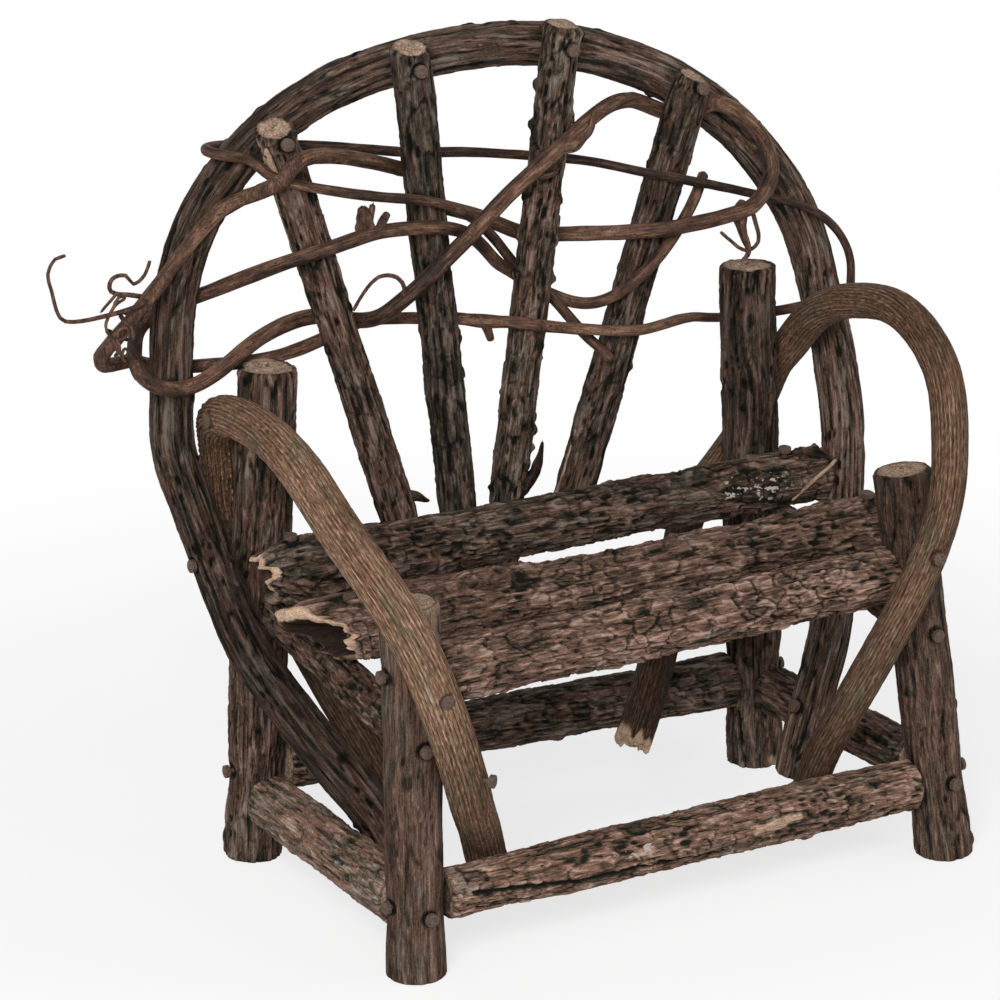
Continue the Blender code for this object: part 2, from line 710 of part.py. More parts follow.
def add_sweep_vine():
    thick = SWEEP_VINE_RADIUS
    weave = Weave(thick)
    weave.under(2, 0.625, 0.0008).between(1, 2, 0.66, 0.690, 0.003).between(1, 2, 0.27, 0.755, -0.006)
    weave.over(1, 0.765, 0.0006).between(0, 1, 0.45, 0.705, -0.0107).over(0, 0.60)
    weave.outside(-1, 0.0165, 0.36, 0.000)
    weave.outside(-1, 0.0265, 0.24, 0.000).outside(-1, 0.0305, 0.185, 0.002)
    weave.outside(-1, 0.0270, 0.140, 0.006).outside(-1, 0.0130, 0.110, 0.0165)
    weave.under(0, 0.050, 0.0010).between(0, 1, 0.28, 0.060, 0.014).between(0, 1, 0.64, 0.070, 0.010)
    weave.under(1, 0.110).between(1, 2, 0.35, 0.145, 0.010).under(2, 0.120)
    weave.between(2, 3, 0.52, 0.115, 0.001).over(3, 0.100, 0.0006).between(3, 4, 0.48, 0.060, -0.0095)
    weave.over(4, 0.030).between(4, 5, 0.34, 0.000, 0.004)
    weave.points.append(beside("post_back_right", 0.160, 100, thick, 0.0004))
    weave.between(4, 5, 0.84, -0.045, 0.0090).between(4, 5, 0.890, -0.020, 0.0030)
    radii = [thick + 0.0003, thick + 0.0003, thick, thick - 0.0004, thick - 0.0005, thick - 0.0006]
    vine = add_stick("vine_sweep", weave.path(), radii, VINE_RED, VINE_DETAIL)
    runner = shoot_from("vine_sweep", 0.340, -0.136, [
        (-0.0060, -0.004, -0.0010), (-0.0120, -0.002, -0.0010), (-0.0120, -0.001, 0.0000),
        (-0.0042, 0.000, 0.0020), (-0.0022, 0.001, 0.0090), (-0.0006, 0.001, 0.0052),
        (0.0030, 0.001, 0.0042), (0.0036, 0.000, 0.0008)])
    grow_tendril(vine, "runner_tendril", runner)
    curl = shoot_from("vine_sweep", 0.390, -0.131, [
        (-0.0060, 0.003, 0.0010), (-0.0055, 0.001, 0.0015), (0.0000, -0.001, 0.0045),
        (0.0048, 0.000, 0.0005), (0.0030, 0.001, -0.0035), (0.0040, 0.000, 0.0025),
        (0.0020, 0.000, 0.0045)])
    grow_tendril(vine, "curl_tendril", curl)
    path, _ = sticks["vine_sweep"]
    tip = min(path, key=lambda point: point.x)
    coil = coil_along("vine_sweep", tip + Vector((0.0100, 0, 0.0150)), tip + Vector((0.0010, 0, 0.0035)))
    print("least gap of the coil to itself, mm:", round(least_gap(coil, COIL_SIDES) * 1000, 2))
    grow_tendril(vine, "coil_tendril", coil)
    stub = shoot_from("vine_sweep", 0.115, -0.013, [(0.0010, -0.0015, -0.0042),
                                                    (0.0008, -0.0005, -0.0030)])
    grow_tendril(vine, "node_stub", stub)


def add_wrap_vine():
    thick = WRAP_VINE_RADIUS
    weave = Weave(thick)
    weave.between(4, 5, 0.35, 0.50, 0.0008).between(4, 5, 0.225, 0.44, -0.0045)
    weave.over(4, 0.270).between(3, 4, 0.72, 0.130, -0.003).between(3, 4, 0.48, 0.120, 0.004)
    weave.between(3, 4, 0.26, 0.155, 0.0112).under(3, 0.225, 0.0054).between(2, 3, 0.78, 0.270, 0.009)
    weave.between(2, 3, 0.40, 0.400, 0.000).over(2, 0.480).between(1, 2, 0.52, 0.480, -0.006)
    weave.over(1, 0.460).between(0, 1, 0.62, 0.400, 0.000).between(0, 1, 0.24, 0.300, 0.015)
    weave.under(0, 0.230, 0.0008).outside(-1, 0.0115, 0.195, 0.0165).outside(-1, 0.0165, 0.155, 0.0065)
    weave.outside(-1, 0.0165, 0.105, 0.0020).outside(-1, 0.0095, 0.055, 0.0010)
    weave.over(0, 0.030).between(0, 1, 0.22, 0.075, 0.0035).between(0, 1, 0.55, 0.160, 0.006)
    weave.under(1, 0.185, 0.0007).between(1, 2, 0.30, 0.165, 0.003).between(1, 2, 0.55, 0.230, -0.006)
    weave.over(2, 0.370).between(2, 3, 0.22, 0.455, -0.0130)
    weave.between(2, 3, 0.60, 0.565, -0.0100).over(3, 0.700)
    weave.between(3, 4, 0.30, 0.770, -0.003).between(3, 4, 0.64, 0.775, 0.006).under(4, 0.700, 0.0010)
    weave.between(4, 5, 0.42, 0.690, 0.0074).between(4, 5, 0.96, 0.745, 0.0014)
    weave.between(4, 5, 1.18, 0.700, 0.0018).between(4, 5, 1.13, 0.640, 0.0012)
    weave.between(4, 5, 1.00, 0.560, -0.0002).between(4, 5, 0.87, 0.490, -0.0030)
    weave.between(4, 5, 0.73, 0.435, -0.0066).between(4, 5, 0.55, 0.395, -0.0108)
    weave.over(4, 0.375, 0.0034)
    weave.between(3, 4, 0.70, 0.355, -0.004).between(3, 4, 0.38, 0.345, 0.006).under(3, 0.360)
    weave.between(2, 3, 0.62, 0.430, 0.0100).under(2, 0.530)
    radii = [thick - 0.0004, thick - 0.0003, thick, thick + 0.0003, thick + 0.0003, thick]
    vine = add_stick("vine_wrap", weave.path(), radii, VINE_RED, VINE_DETAIL)
    curl = shoot_from("vine_wrap", 0.230, -0.046, [
        (0.0010, -0.003, 0.0060), (-0.0035, -0.001, 0.0050), (-0.0065, 0.000, 0.0010),
        (-0.0055, 0.000, -0.0045), (-0.0035, 0.001, -0.0060)])
    grow_tendril(vine, "curl_tendril", curl)
    hook = shoot_from("vine_wrap", 0.420, 0.083, [
        (0.0015, -0.001, -0.0060), (0.0010, 0.000, -0.0060), (-0.0040, 0.001, -0.0030),
        (-0.0060, 0.000, 0.0040), (-0.0045, 0.000, 0.0040)])
    grow_tendril(vine, "hook_tendril", hook)
    spur = shoot_from("vine_wrap", 0.480, -0.052, [(0.0006, -0.001, 0.0040), (0.0014, -0.001, 0.0030)])
    grow_tendril(vine, "wrap_spur", spur)


def add_top_vine():
    thick = TOP_VINE_RADIUS
    weave = Weave(thick)
    weave.outside(1, 0.0095, 0.030, 0.002).outside(1, 0.0110, 0.120, 0.002)
    weave.outside(1, 0.0080, 0.240, 0.002).over(5, 0.330).between(4, 5, 0.74, 0.395, 0.0030)
    weave.over(4, 0.525).between(3, 4, 0.68, 0.560, -0.004).between(3, 4, 0.40, 0.590, 0.004)
    weave.under(3, 0.620).between(2, 3, 0.50, 0.660, 0.0090).under(2, 0.690)
    weave.between(1, 2, 0.48, 0.725, 0.0160).between(1, 2, 0.06, 0.740, 0.0228).under(0, 0.750, 0.0006)
    weave.outside(-1, 0.0175, 0.775, 0.0140).outside(-1, 0.0165, 0.775, 0.0050)
    weave.over(0, 0.745).between(0, 1, 0.22, 0.722, 0.0005).between(0, 1, 0.45, 0.705, -0.0046)
    weave.over(1, 0.680)
    weave.between(1, 2, 0.40, 0.620, -0.0075).over(2, 0.560)
    weave.between(2, 3, 0.50, 0.430, 0.0015).under(3, 0.245)
    weave.between(3, 4, 0.17, 0.190, 0.0078).between(3, 4, 0.32, 0.125, 0.0010)
    weave.between(3, 4, 0.58, 0.020, -0.0025).between(3, 4, 0.80, -0.050, -0.0105)
    radii = [thick - 0.0002, thick, thick, thick + 0.0001]
    add_stick("vine_top", weave.path(), radii, VINE_RED, VINE_DETAIL)


def nail_mesh(length):
    """A round wire nail as a turned profile, driven down -Z, with its head's underside at zero."""
    profile = [(0.0, NAIL_HEAD_THICKNESS), (NAIL_HEAD_RADIUS * 0.9, NAIL_HEAD_THICKNESS),
               (NAIL_HEAD_RADIUS, 0.0), (NAIL_RADIUS, 0.0), (NAIL_RADIUS, NAIL_TIP - length),
               (0.0, -length)]
    outline = bpy.data.meshes.new("nail_profile")
    outline.from_pydata([(x, 0.0, z) for x, z in profile],
                        [(index, index + 1) for index in range(len(profile) - 1)], [])
    turned = bpy.data.objects.new("nail_profile", outline)
    cutters.objects.link(turned)
    screw = turned.modifiers.new("turn", "SCREW")
    screw.steps = NAIL_SIDES
    screw.render_steps = NAIL_SIDES
    screw.use_merge_vertices = True
    screw.merge_threshold = CLEARANCE / 30
    evaluated = turned.evaluated_get(bpy.context.evaluated_depsgraph_get())
    mesh = bpy.data.meshes.new_from_object(evaluated)
    bpy.data.objects.remove(turned, do_unlink=True)
    bpy.data.meshes.remove(outline)
    weld(mesh)
    return mesh


def drill(piece, place, aim, length):
    """Cut the nail's hole, with clearance, through a piece."""
    bore = bmesh.new()
    span = length + CLEARANCE + NAIL_HEAD_RADIUS
    bmesh.ops.create_cone(bore, cap_ends=True, segments=NAIL_SIDES, depth=span,
                          radius1=NAIL_RADIUS + CLEARANCE, radius2=NAIL_RADIUS + CLEARANCE)
    mesh = bpy.data.meshes.new(piece.name + "_bore")
    bore.to_mesh(mesh)
    bore.free()
    cutter = bpy.data.objects.new(piece.name + "_bore", mesh)
    cutter.parent = bench
    cutter.location = place + aim * (length + CLEARANCE - span / 2)
    cutter.rotation_mode = "QUATERNION"
    cutter.rotation_quaternion = aim.to_track_quat("-Z", "Y")
    cutter.hide_render = True
    cutter.display_type = "WIRE"
    cutters.objects.link(cutter)
    hole = piece.modifiers.new("nail_hole", "BOOLEAN")
    hole.operation = "DIFFERENCE"
    hole.object = cutter


def drive_nail(name, place, aim, kind, pieces):
    """Drive a nail with its head's underside at a place, and drill what it goes through."""
    length = LONG_NAIL_LENGTH if kind == "long" else SHORT_NAIL_LENGTH
    nail = add_piece(name, nail_meshes[kind].copy(), NAIL_GREY, 0.5, 0.8)
    nail.location = place
    nail.rotation_mode = "QUATERNION"
    nail.rotation_quaternion = aim.to_track_quat("-Z", "Y")
    for piece in pieces:
        drill(bpy.data.objects[piece], place, aim, length)


def dense(name):
    """Axis points a short way apart along a stick, each with the stick's radius there."""
    fine = 0.001
    path, radii = sticks[name]
    points = []
    for start, end in zip(path, path[1:]):
        count = max(1, round((end - start).length / fine))
        points += [lerp(start, end, index / count) for index in range(count)]
    points.append(path[-1])
    return [(point, radius_along(radii, index / (len(points) - 1)))
            for index, point in enumerate(points)]


def nail_across(name, outer, inner, kind="short", height=None, proud=0.0):
    """Nail one stick across another, where they lie closest or at a height on the outer one."""
    outer_points = dense(outer)
    inner_points = [point for point, _ in dense(inner)]
    if height is not None:
        reach = 0.002
        outer_points = [spot for spot in outer_points if abs(spot[0].z - height) < reach]
    pairs = ((spot, min(inner_points, key=lambda point: (point - spot[0]).length_squared))
             for spot in outer_points)
    spot, end = min(pairs, key=lambda pair: (pair[1] - pair[0][0]).length_squared)
    start, radius = spot
    aim = (end - start).normalized()
    drive_nail(name, start - aim * (radius + CLEARANCE + proud), aim, kind, (outer, inner))


def nail_into_end(name, post, stick, first_end, lift=0.0):
    """Nail through a post into the end grain of a stick that butts against it."""
    path, _ = sticks[stick]
    end, far = (path[0], path[-1]) if first_end else (path[-1], path[0])
    aim = (far - end).normalized()
    height = end.z - aim.z * post_radius(post) + lift
    place = post_axis(post, height) - aim * butt_distance(post, aim, NAIL_HEAD_RADIUS)
    drive_nail(name, place, aim, "long", (post, stick))


def add_frame_nails():
    lift = 0.0028
    joints = (("stretcher_front", "front_left", "front_right", 0.0, lift),
              ("stretcher_back", "back_left", "back_right", 0.0, lift),
              ("stretcher_left", "front_left", "back_left", 0.0, 0.0),
              ("stretcher_right", "front_right", "back_right", -lift, -lift),
              ("seat_log_front", "front_left", "front_right", lift, lift),
              ("seat_bearer_left", "front_left", "back_left", 0.0, -lift),
              ("seat_bearer_right", "front_right", "back_right", 0.0, -lift))
    for stick, first, second, first_lift, second_lift in joints:
        nail_into_end("nail_%s_%s" % (stick, first), "post_" + first, stick, True, first_lift)
        nail_into_end("nail_%s_%s" % (stick, second), "post_" + second, stick, False, second_lift)
    for log in ("seat_log_middle", "seat_log_back"):
        for bearer in ("seat_bearer_left", "seat_bearer_right"):
            nail_across("nail_%s_%s" % (log, bearer.split("_")[-1]), log, bearer, "long")


def add_back_nails():
    for name in SPINDLES:
        nail_across("nail_%s_top" % name, name, "back_arch")
        nail_across("nail_%s_foot" % name, name, "seat_log_back")
    nail_across("nail_arch_foot_left", "back_arch", "stretcher_left", height=0.0280)
    nail_across("nail_arch_foot_right", "back_arch", "stretcher_right", height=0.0350)
    nail_across("nail_arch_post_left", "back_arch", "post_back_left", height=BEARER_HEIGHT + 0.0230,
                proud=CLEARANCE)


def add_arm_nails():
    nail_across("nail_arm_left_front", "arm_left", "post_front_left", height=BEARER_HEIGHT + 0.0165)
    nail_across("nail_arm_left_inner", "arm_left", "post_front_left", height=BEARER_HEIGHT - 0.0170,
                proud=0.003)
    nail_across("nail_arm_left_back", "arm_left", "post_back_left", height=0.1595)
    nail_across("nail_arm_left_foot", "arm_left", "stretcher_front", height=0.026)
    nail_across("nail_arm_right_front", "arm_right", "post_front_right", height=BEARER_HEIGHT + 0.0240,
                proud=0.001)
    nail_across("nail_arm_right_back", "arm_right", "post_back_right", height=0.143)
    nail_across("nail_arm_right_foot", "arm_right", "stretcher_front", height=0.030)


def stand_on_origin():
    """Move the root so that the origin is on the floor under the middle of the bench."""
    graph = bpy.context.evaluated_depsgraph_get()
    corners = []
    for piece in parts.objects:
        if piece.type == "MESH":
            shape = piece.evaluated_get(graph)
            corners += [shape.matrix_world @ Vector(corner) for corner in shape.bound_box]
    low_x, high_x = min(c.x for c in corners), max(c.x for c in corners)
    low_y, high_y = min(c.y for c in corners), max(c.y for c in corners)
    bench.location = (-(low_x + high_x) / 2, -(low_y + high_y) / 2, 0)


clear_scene()
bench = add_root()
nail_meshes = {"short": nail_mesh(SHORT_NAIL_LENGTH), "long": nail_mesh(LONG_NAIL_LENGTH)}
add_posts()
add_stretchers()
add_seat()
add_spindles()
add_arch()
add_left_arm()
add_right_arm()
add_sweep_vine()
add_wrap_vine()
add_top_vine()
add_frame_nails()
add_back_nails()
add_arm_nails()
stand_on_origin()
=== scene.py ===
"""Looks of the vine bench: rough bark, sawn ends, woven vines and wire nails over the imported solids.

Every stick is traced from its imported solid, and a sheet of bark is rolled round the traced line.
Metres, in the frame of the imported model: the front faces -Y and +Z is up.
"""
import heapq
import math

import bpy
import numpy as np
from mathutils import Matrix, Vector


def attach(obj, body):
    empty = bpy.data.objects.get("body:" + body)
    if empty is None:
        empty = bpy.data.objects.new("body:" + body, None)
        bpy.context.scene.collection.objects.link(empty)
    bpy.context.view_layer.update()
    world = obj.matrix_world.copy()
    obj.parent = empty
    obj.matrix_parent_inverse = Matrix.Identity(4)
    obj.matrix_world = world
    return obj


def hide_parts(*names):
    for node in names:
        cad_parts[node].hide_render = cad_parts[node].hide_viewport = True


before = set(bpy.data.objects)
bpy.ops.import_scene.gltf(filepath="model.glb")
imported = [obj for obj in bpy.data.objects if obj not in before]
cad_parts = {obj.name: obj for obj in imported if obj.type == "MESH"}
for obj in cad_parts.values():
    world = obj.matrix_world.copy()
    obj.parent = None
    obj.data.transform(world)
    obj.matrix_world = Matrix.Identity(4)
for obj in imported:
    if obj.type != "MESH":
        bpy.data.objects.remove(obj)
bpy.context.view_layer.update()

MM = 0.001
BODY = "root"

# Viewpoint of the photograph, and the camera's lens
EYE = Vector((-0.69140, -1.23620, 0.61690))
AIM = Vector((-0.01144, 0.01003, 0.12819))
LENS = 164.32
SENSOR = 36.0

# Tracing of the solids
JOIN = 1e-6
STICK_TRACE = 4 * MM
VINE_TRACE = 2 * MM
EVEN_STEP = 1 * MM

# Spacing of the points of a bark sheet, along a stick and round it
BARK_ALONG = 0.75 * MM
BARK_AROUND = 0.55 * MM
SMOOTH_ALONG = 0.90 * MM
SMOOTH_AROUND = 0.34 * MM
VINE_ALONG = 0.80 * MM
VINE_AROUND = 0.66 * MM
TWIG_ALONG = 0.50 * MM
TWIG_AROUND = 0.42 * MM
CAP_ROWS = 14
RIM_ROUNDING = 0.7 * MM
THINNEST = 0.15 * MM
SAWN_RIM = (0.02, 0.10)   # shares of the way in from the rim where bark gives way to sawn wood

# How far the traced lines are smoothed along
STICK_SPREAD = 7 * MM
VINE_SPREAD = 4 * MM
TWIG_SPREAD = 1 * MM

# Seeds: the first stick's and the step to the next, the first twig's and the step, and what the
# ends and marks of a piece add to the seed of the piece
STICK_SEED, STICK_SEED_STEP = 7, 100
TWIG_SEED, TWIG_SEED_STEP = 900, 10
SAWN_SEED = 90
BROKEN_SEED = 95
TORN_SEED = 97
MARK_SEED = 200

# Nails: how far a head stands out past its solid, how thick it is, its point, its number of sides,
# how much of the solid is its head, and how wide and deep the dimple round it is
NAIL_PROUD = 0.5 * MM
HEAD_THICK = 0.9 * MM
NAIL_TIP = 2 * MM
NAIL_SIDES = 24
HEAD_ZONE = 1.2 * MM
DIMPLE_WIDTH = 1.5
DIMPLE_REACH = 2.5 * MM
DIMPLE_DEPTH = 0.6 * MM

# How each kind of bark is broken up: width and length of its ridges, how deep it is, how much of it
# is cracked across into blocks, how much is pitted, how often it has knobs and how high they are, how
# far its ridges wander, its shade, how much of it is grey, and how far its darks and lights lie apart.
# The shade is a gain on the colour: partly the bark's own tone, partly painted shade, lower for the
# spindles and the arch, which lie at the back in shadow. The grey is partly the bark's own weathering,
# partly the neutral colour of painted shade on the darker sticks.
BARK_TERMS = ("width", "length", "depth", "blocks", "pits", "knobs", "knob_height", "wander", "shade",
              "grey", "contrast")
BARKS = {
    "post": (2.3, 24.0, 0.50, 0.25, 0.10, 0.05, 0.8, 0.7, 0.80, 0.02, 1.2),
    "log": (2.0, 8.0, 0.80, 0.60, 0.45, 0.05, 0.9, 0.6, 0.90, -0.06, 1.1),
    "stretcher": (2.0, 9.0, 0.65, 0.50, 0.38, 0.06, 0.8, 0.7, 0.90, 0.00, 1.1),
    "spindle": (1.9, 11.0, 0.55, 0.35, 0.22, 0.10, 0.9, 0.6, 0.54, 0.08, 1.2),
    "arch": (1.9, 22.0, 0.50, 0.20, 0.16, 0.05, 0.7, 0.5, 0.60, 0.06, 1.2),
}

# Each stick's kind of bark, and where it differs from its kind. The shades here are partly painted
# light and shade: higher on the front and left stretchers, which face the light, and lower on the back
# and inner sticks, which lie in shadow.
STICKS = {
    "post_front_left": ("post", {"shade": 0.62, "depth": 0.26, "blocks": 0.10, "pits": 0.04,
                                    "contrast": 0.75}),
    "post_front_right": ("post", {"shade": 0.62, "depth": 0.42, "contrast": 0.9}),
    "post_back_left": ("post", {"shade": 0.60, "depth": 0.60, "pits": 0.25}),
    "post_back_right": ("post", {"shade": 0.36, "depth": 0.70, "pits": 0.25, "grey": 0.06}),
    "stretcher_front": ("stretcher", {"shade": 1.15, "grey": -0.05, "length": 7.0, "pits": 0.5}),
    "stretcher_back": ("stretcher", {"shade": 0.86, "grey": 0.10}),
    "stretcher_left": ("stretcher", {"shade": 1.45, "grey": 0.08, "contrast": 0.75}),
    "stretcher_right": ("stretcher", {"shade": 0.70}),
    "seat_bearer_left": ("stretcher", {"shade": 0.62}),
    "seat_bearer_right": ("stretcher", {"shade": 0.62}),
    "seat_log_front": ("log", {"shade": 0.97, "blocks": 0.85}),
    "seat_log_middle": ("log", {"shade": 0.88}),
    "seat_log_back": ("log", {"shade": 0.60, "pits": 0.50, "grey": 0.06}),
    "back_spindle_1": ("spindle", {"pits": 0.25, "grey": 0.02}),
    "back_spindle_2": ("spindle", {"shade": 0.40, "grey": 0.14}),
    "back_spindle_3": ("spindle", {"knobs": 0.34, "knob_height": 1.5, "shade": 0.60, "pits": 0.35}),
    "back_spindle_4": ("spindle", {"knobs": 0.14, "shade": 0.42}),
    "back_arch": ("arch", {}),
}

# Marks on single sticks: what each one is, where it starts and ends (turn round the stick, and
# millimetres from its start), half its width in millimetres, and how strong it is
MARKS = {
    "stretcher_front": [
        ("split", (0.039, 7), (0.120, 44), 0.8, 1), ("split", (0.120, 44), (0.125, 70), 0.9, 1),
        ("split", (0.125, 70), (0.154, 97), 0.8, 1), ("bare", (0.063, 114), (0.030, 130), 2.0, 0.8),
        ("lichen", (0.005, 58), (0.010, 72), 1.8, 1)],
    "seat_log_back": [
        ("knot", (0.005, 181), (0.025, 191), 8.0, 1), ("lichen", (0.990, 178), (0.030, 196), 5.5, 1),
        ("swell", (0.250, 0), (0.250, 60), 13.0, 1.6)],
    "seat_log_middle": [("swell", (0.740, 0), (0.740, 70), 13.0, 2.2)],
    "back_spindle_1": [
        ("bare", (0.740, 55), (0.745, 29), 1.2, 0.8), ("bare", (0.770, 122), (0.770, 148), 1.5, 0.8),
        ("bare", (0.860, 164), (0.880, 150), 1.6, 0.75),
        ("bare", (0.780, 168), (0.800, 146), 1.3, 0.75)],
    "back_spindle_4": [("bare", (0.830, 16), (0.850, 38), 0.9, 0.7)],
    "post_back_right": [
        ("bare", (0.885, 24), (0.882, 34), 1.4, 0.8), ("split", (0.900, 21), (0.930, 3), 0.8, 1),
        ("bare", (0.135, 0), (0.110, 3), 1.8, 0.6), ("worn", (0.0, 0), (0.0, 14), 40.0, 0.9)],
    "post_front_left": [
        ("bare", (0.090, 128), (0.150, 108), 5.5, 0.28),
        ("bare", (0.900, 128), (0.250, 128), 3.0, 0.32)],
    # The arch's left limb and the top of the front right post are painted darker, as painted shade where
    # the arm and the seat shadow them.
    "back_arch": [
        ("worn", (0.0, 60), (0.0, 270), 40.0, -0.30), ("worn", (0.0, 0), (0.0, 95), 40.0, -0.35)],
    "post_front_right": [("worn", (0.0, 112), (0.0, 140), 30.0, -0.30)],
}
# How far the sawn tops of the spindles are cut down at the front
CUT_DOWN = {"back_spindle_1": 5.0 * MM, "back_spindle_2": 4.0 * MM, "back_spindle_3": 2.5 * MM,
            "back_spindle_4": 3.5 * MM}
TOP_FADE = 12 * MM
SPLIT_DEPTH = 1.3 * MM
PEEL_DEPTH = 0.4 * MM
KNOT_HEIGHT = 1.6 * MM

# Twigs, stubs and tendrils that grow from a stick: which finish each one has, and for each of its
# points the place and the radius, in millimetres. The first point is inside the stick.
TWIGS = {
    "vine_wrap_fork": ("vine", [
        (103.6, 45.6, 205.6, 2.3), (100.6, 45.0, 203.2, 2.7), (100.2, 43.4, 199.8, 2.0),
        (101.2, 42.6, 194.8, 1.4), (103.2, 42.6, 190.2, 1.1), (103.0, 43.0, 187.8, 0.9),
        (100.8, 43.4, 186.0, 0.6)]),
    "vine_wrap_spur": ("vine", [
        (-39.7, 51.0, 211.5, 3.6), (-40.1, 50.0, 216.0, 3.2), (-40.7, 49.4, 219.5, 2.5),
        (-41.4, 49.0, 222.4, 1.7)]),
    "vine_wrap_spur_prong": ("vine", [
        (-39.4, 50.4, 214.5, 1.9), (-38.0, 49.8, 219.2, 1.5), (-37.2, 49.6, 222.8, 0.9)]),
    "vine_wrap_torn_twig": ("vine", [
        (29.8, 47.0, 233.2, 2.2), (35.5, 45.0, 234.4, 2.3), (40.0, 44.2, 238.1, 1.5),
        (41.9, 44.0, 240.9, 1.1), (42.3, 44.0, 244.0, 0.9), (43.8, 43.8, 245.4, 0.9),
        (47.3, 43.6, 244.8, 0.6)]),
    "vine_sweep_tangle": ("vine", [
        (-128.9, 48.6, 191.0, 0.5), (-129.9, 48.0, 193.1, 0.5), (-128.5, 47.6, 194.4, 0.5),
        (-126.3, 47.8, 193.6, 0.5), (-126.0, 48.4, 191.5, 0.5), (-127.9, 49.0, 190.0, 0.5),
        (-130.4, 49.4, 190.1, 0.5), (-132.5, 49.6, 192.2, 0.5), (-133.3, 49.8, 195.0, 0.5),
        (-132.2, 49.6, 198.1, 0.5), (-129.8, 49.2, 202.1, 0.5), (-128.6, 48.8, 204.6, 0.5),
        (-129.2, 48.4, 206.0, 0.5), (-132.4, 48.2, 203.2, 0.5), (-135.6, 48.0, 200.3, 0.4)]),
    "vine_sweep_tangle_loop": ("vine", [
        (-132.0, 49.6, 198.6, 0.5), (-129.3, 50.6, 201.0, 0.5), (-127.5, 50.8, 202.1, 0.5),
        (-125.7, 50.6, 202.7, 0.5), (-126.1, 50.2, 203.8, 0.5), (-128.2, 50.0, 203.8, 0.5),
        (-130.2, 50.0, 201.6, 0.4)]),
    "vine_sweep_coil": ("vine", [
        (-130.3, 49.4, 190.2, 0.5), (-128.7, 48.6, 187.6, 0.5), (-129.6, 48.0, 185.7, 0.5),
        (-127.7, 47.6, 184.1, 0.5), (-126.4, 47.6, 186.0, 0.5), (-128.1, 47.2, 187.8, 0.5),
        (-129.2, 47.0, 185.2, 0.5), (-127.8, 46.8, 182.6, 0.4)]),
    "back_spindle_1_twig": ("bark", [
        (-30.5, 46.0, 121.8, 2.4), (-27.3, 44.6, 121.6, 2.2), (-24.7, 43.8, 121.6, 1.6),
        (-22.4, 43.2, 120.2, 1.1), (-20.3, 43.0, 119.4, 0.5)]),
    "back_spindle_3_twig": ("bark", [
        (14.5, 47.0, 114.5, 2.6), (18.2, 44.6, 119.6, 2.4), (20.6, 43.4, 123.6, 1.9),
        (22.1, 43.0, 128.4, 1.2), (22.9, 43.0, 133.5, 0.5)]),
    "back_spindle_3_thorn": ("bark", [
        (22.6, 46.2, 224.8, 1.5), (25.2, 45.0, 225.6, 1.3), (27.5, 44.2, 226.4, 0.9),
        (29.4, 44.0, 227.6, 0.4)]),
    "seat_log_back_bark_strip": ("bare", [
        (109.4, 21.4, 104.6, 0.45), (113.9, 19.5, 109.4, 0.55), (119.2, 19.1, 113.2, 0.60),
        (123.6, 19.5, 115.6, 0.60), (126.6, 20.6, 117.2, 0.50)]),
    "seat_log_back_bark_tab": ("bark", [
        (117.0, 27.0, 119.2, 1.2), (121.3, 24.8, 119.4, 1.3), (124.6, 23.0, 118.0, 1.1),
        (126.0, 21.4, 116.4, 0.8)]),
}
TWIG_SHADE = 0.42
TENDRIL_TONE = 0.25
STEM_SKIN = 0.35 * MM   # what is nearer than this to a vine's stem is no tendril

# Long ridges of the seat logs, as in their solids
RIDGE_DEPTH = 1.0 * MM
RIDGE_COUNT = 5
RIDGE_SWING = 1.4
RIDGE_SWAY = 53 * MM

# Logs whose left end broke off: which side of each is longest and how far a splinter of it reaches
# further, the slant of the break, and how deep the hollow middle is
BROKEN_LOGS = {"seat_log_middle": ((0, 0.6, 0.8), 9 * MM), "seat_log_back": ((0, -0.7, 0.7), 0)}
BREAK_SLANT = 0.65
SLANT_FADE = 24 * MM
SPLIT_STRIPS = (11, 29)               # coarse and fine strips that a break splits into
SPLIT_STEPS = (7.0 * MM, 2.6 * MM)    # how far they stand apart
SPLIT_FADE = 9 * MM
TORN_STRIPS = 13
# The side below is the side of a broken end that faces the light: torn wood shows pale only there, and
# the rest of the end is painted dark, as painted shade.
LIT_END_SIDE = (0, -0.6, 0.8)           # the side where the torn wood is still pale
HOLLOW_DEPTH = 9 * MM

# Arms: seed, shade, the end that snapped off, and where the bark is scaly, in millimetres from the
# start. Their bark is darker near both ends, as painted shade towards the snapped tail, which lies
# under the seat, and darker towards the foot: how dark, and between which lengths it fades.
ARM_LINES = 30
TAIL_SHADE, TAIL_FADE = 0.45, (40, 150)
FOOT_SHADE, FOOT_FADE = 0.60, (10, 100)
ARMS = {"arm_left": (31, 1.20, -1, (96, 168)), "arm_right": (47, 0.80, 1, (400, 402))}

# Vines: seed and mean tone. The wrapped vine and the top vine have lower tones as painted shade.
VINES = {"vine_sweep": (53, 0.50), "vine_wrap": (61, 0.25), "vine_top": (71, 0.05)}
WITHOUT_TENDRILS = "vine_top"

# Gains on the shades of bark, so that their medians match the photograph under the studio light
BARK_GAIN = 1.12
ARM_GAIN = 1.05

# Studio: strength of the sky, lamps (place, size, power) and what they point at, the floor, and the
# share of plain white that the camera sees on it, near the bench and fading to all white away from it
SKY = 0.45
LAMPS = {"front_softbox": ((-0.90, -1.10, 0.95), 0.7, 22), "right_softbox": ((1.1, -0.85, 0.8), 0.8, 4)}
LAMP_TARGET = (0, 0, 0.12)
FLOOR_RADIUS = 3.0
FLOOR_COLOUR = (0.88, 0.88, 0.88, 1)
WHITE = (1, 1, 1, 1)
WHITE_NEAR = 0.72
WHITE_FADE = (0.18, 0.50)

NAILS = sorted(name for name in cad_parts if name.startswith("nail_"))


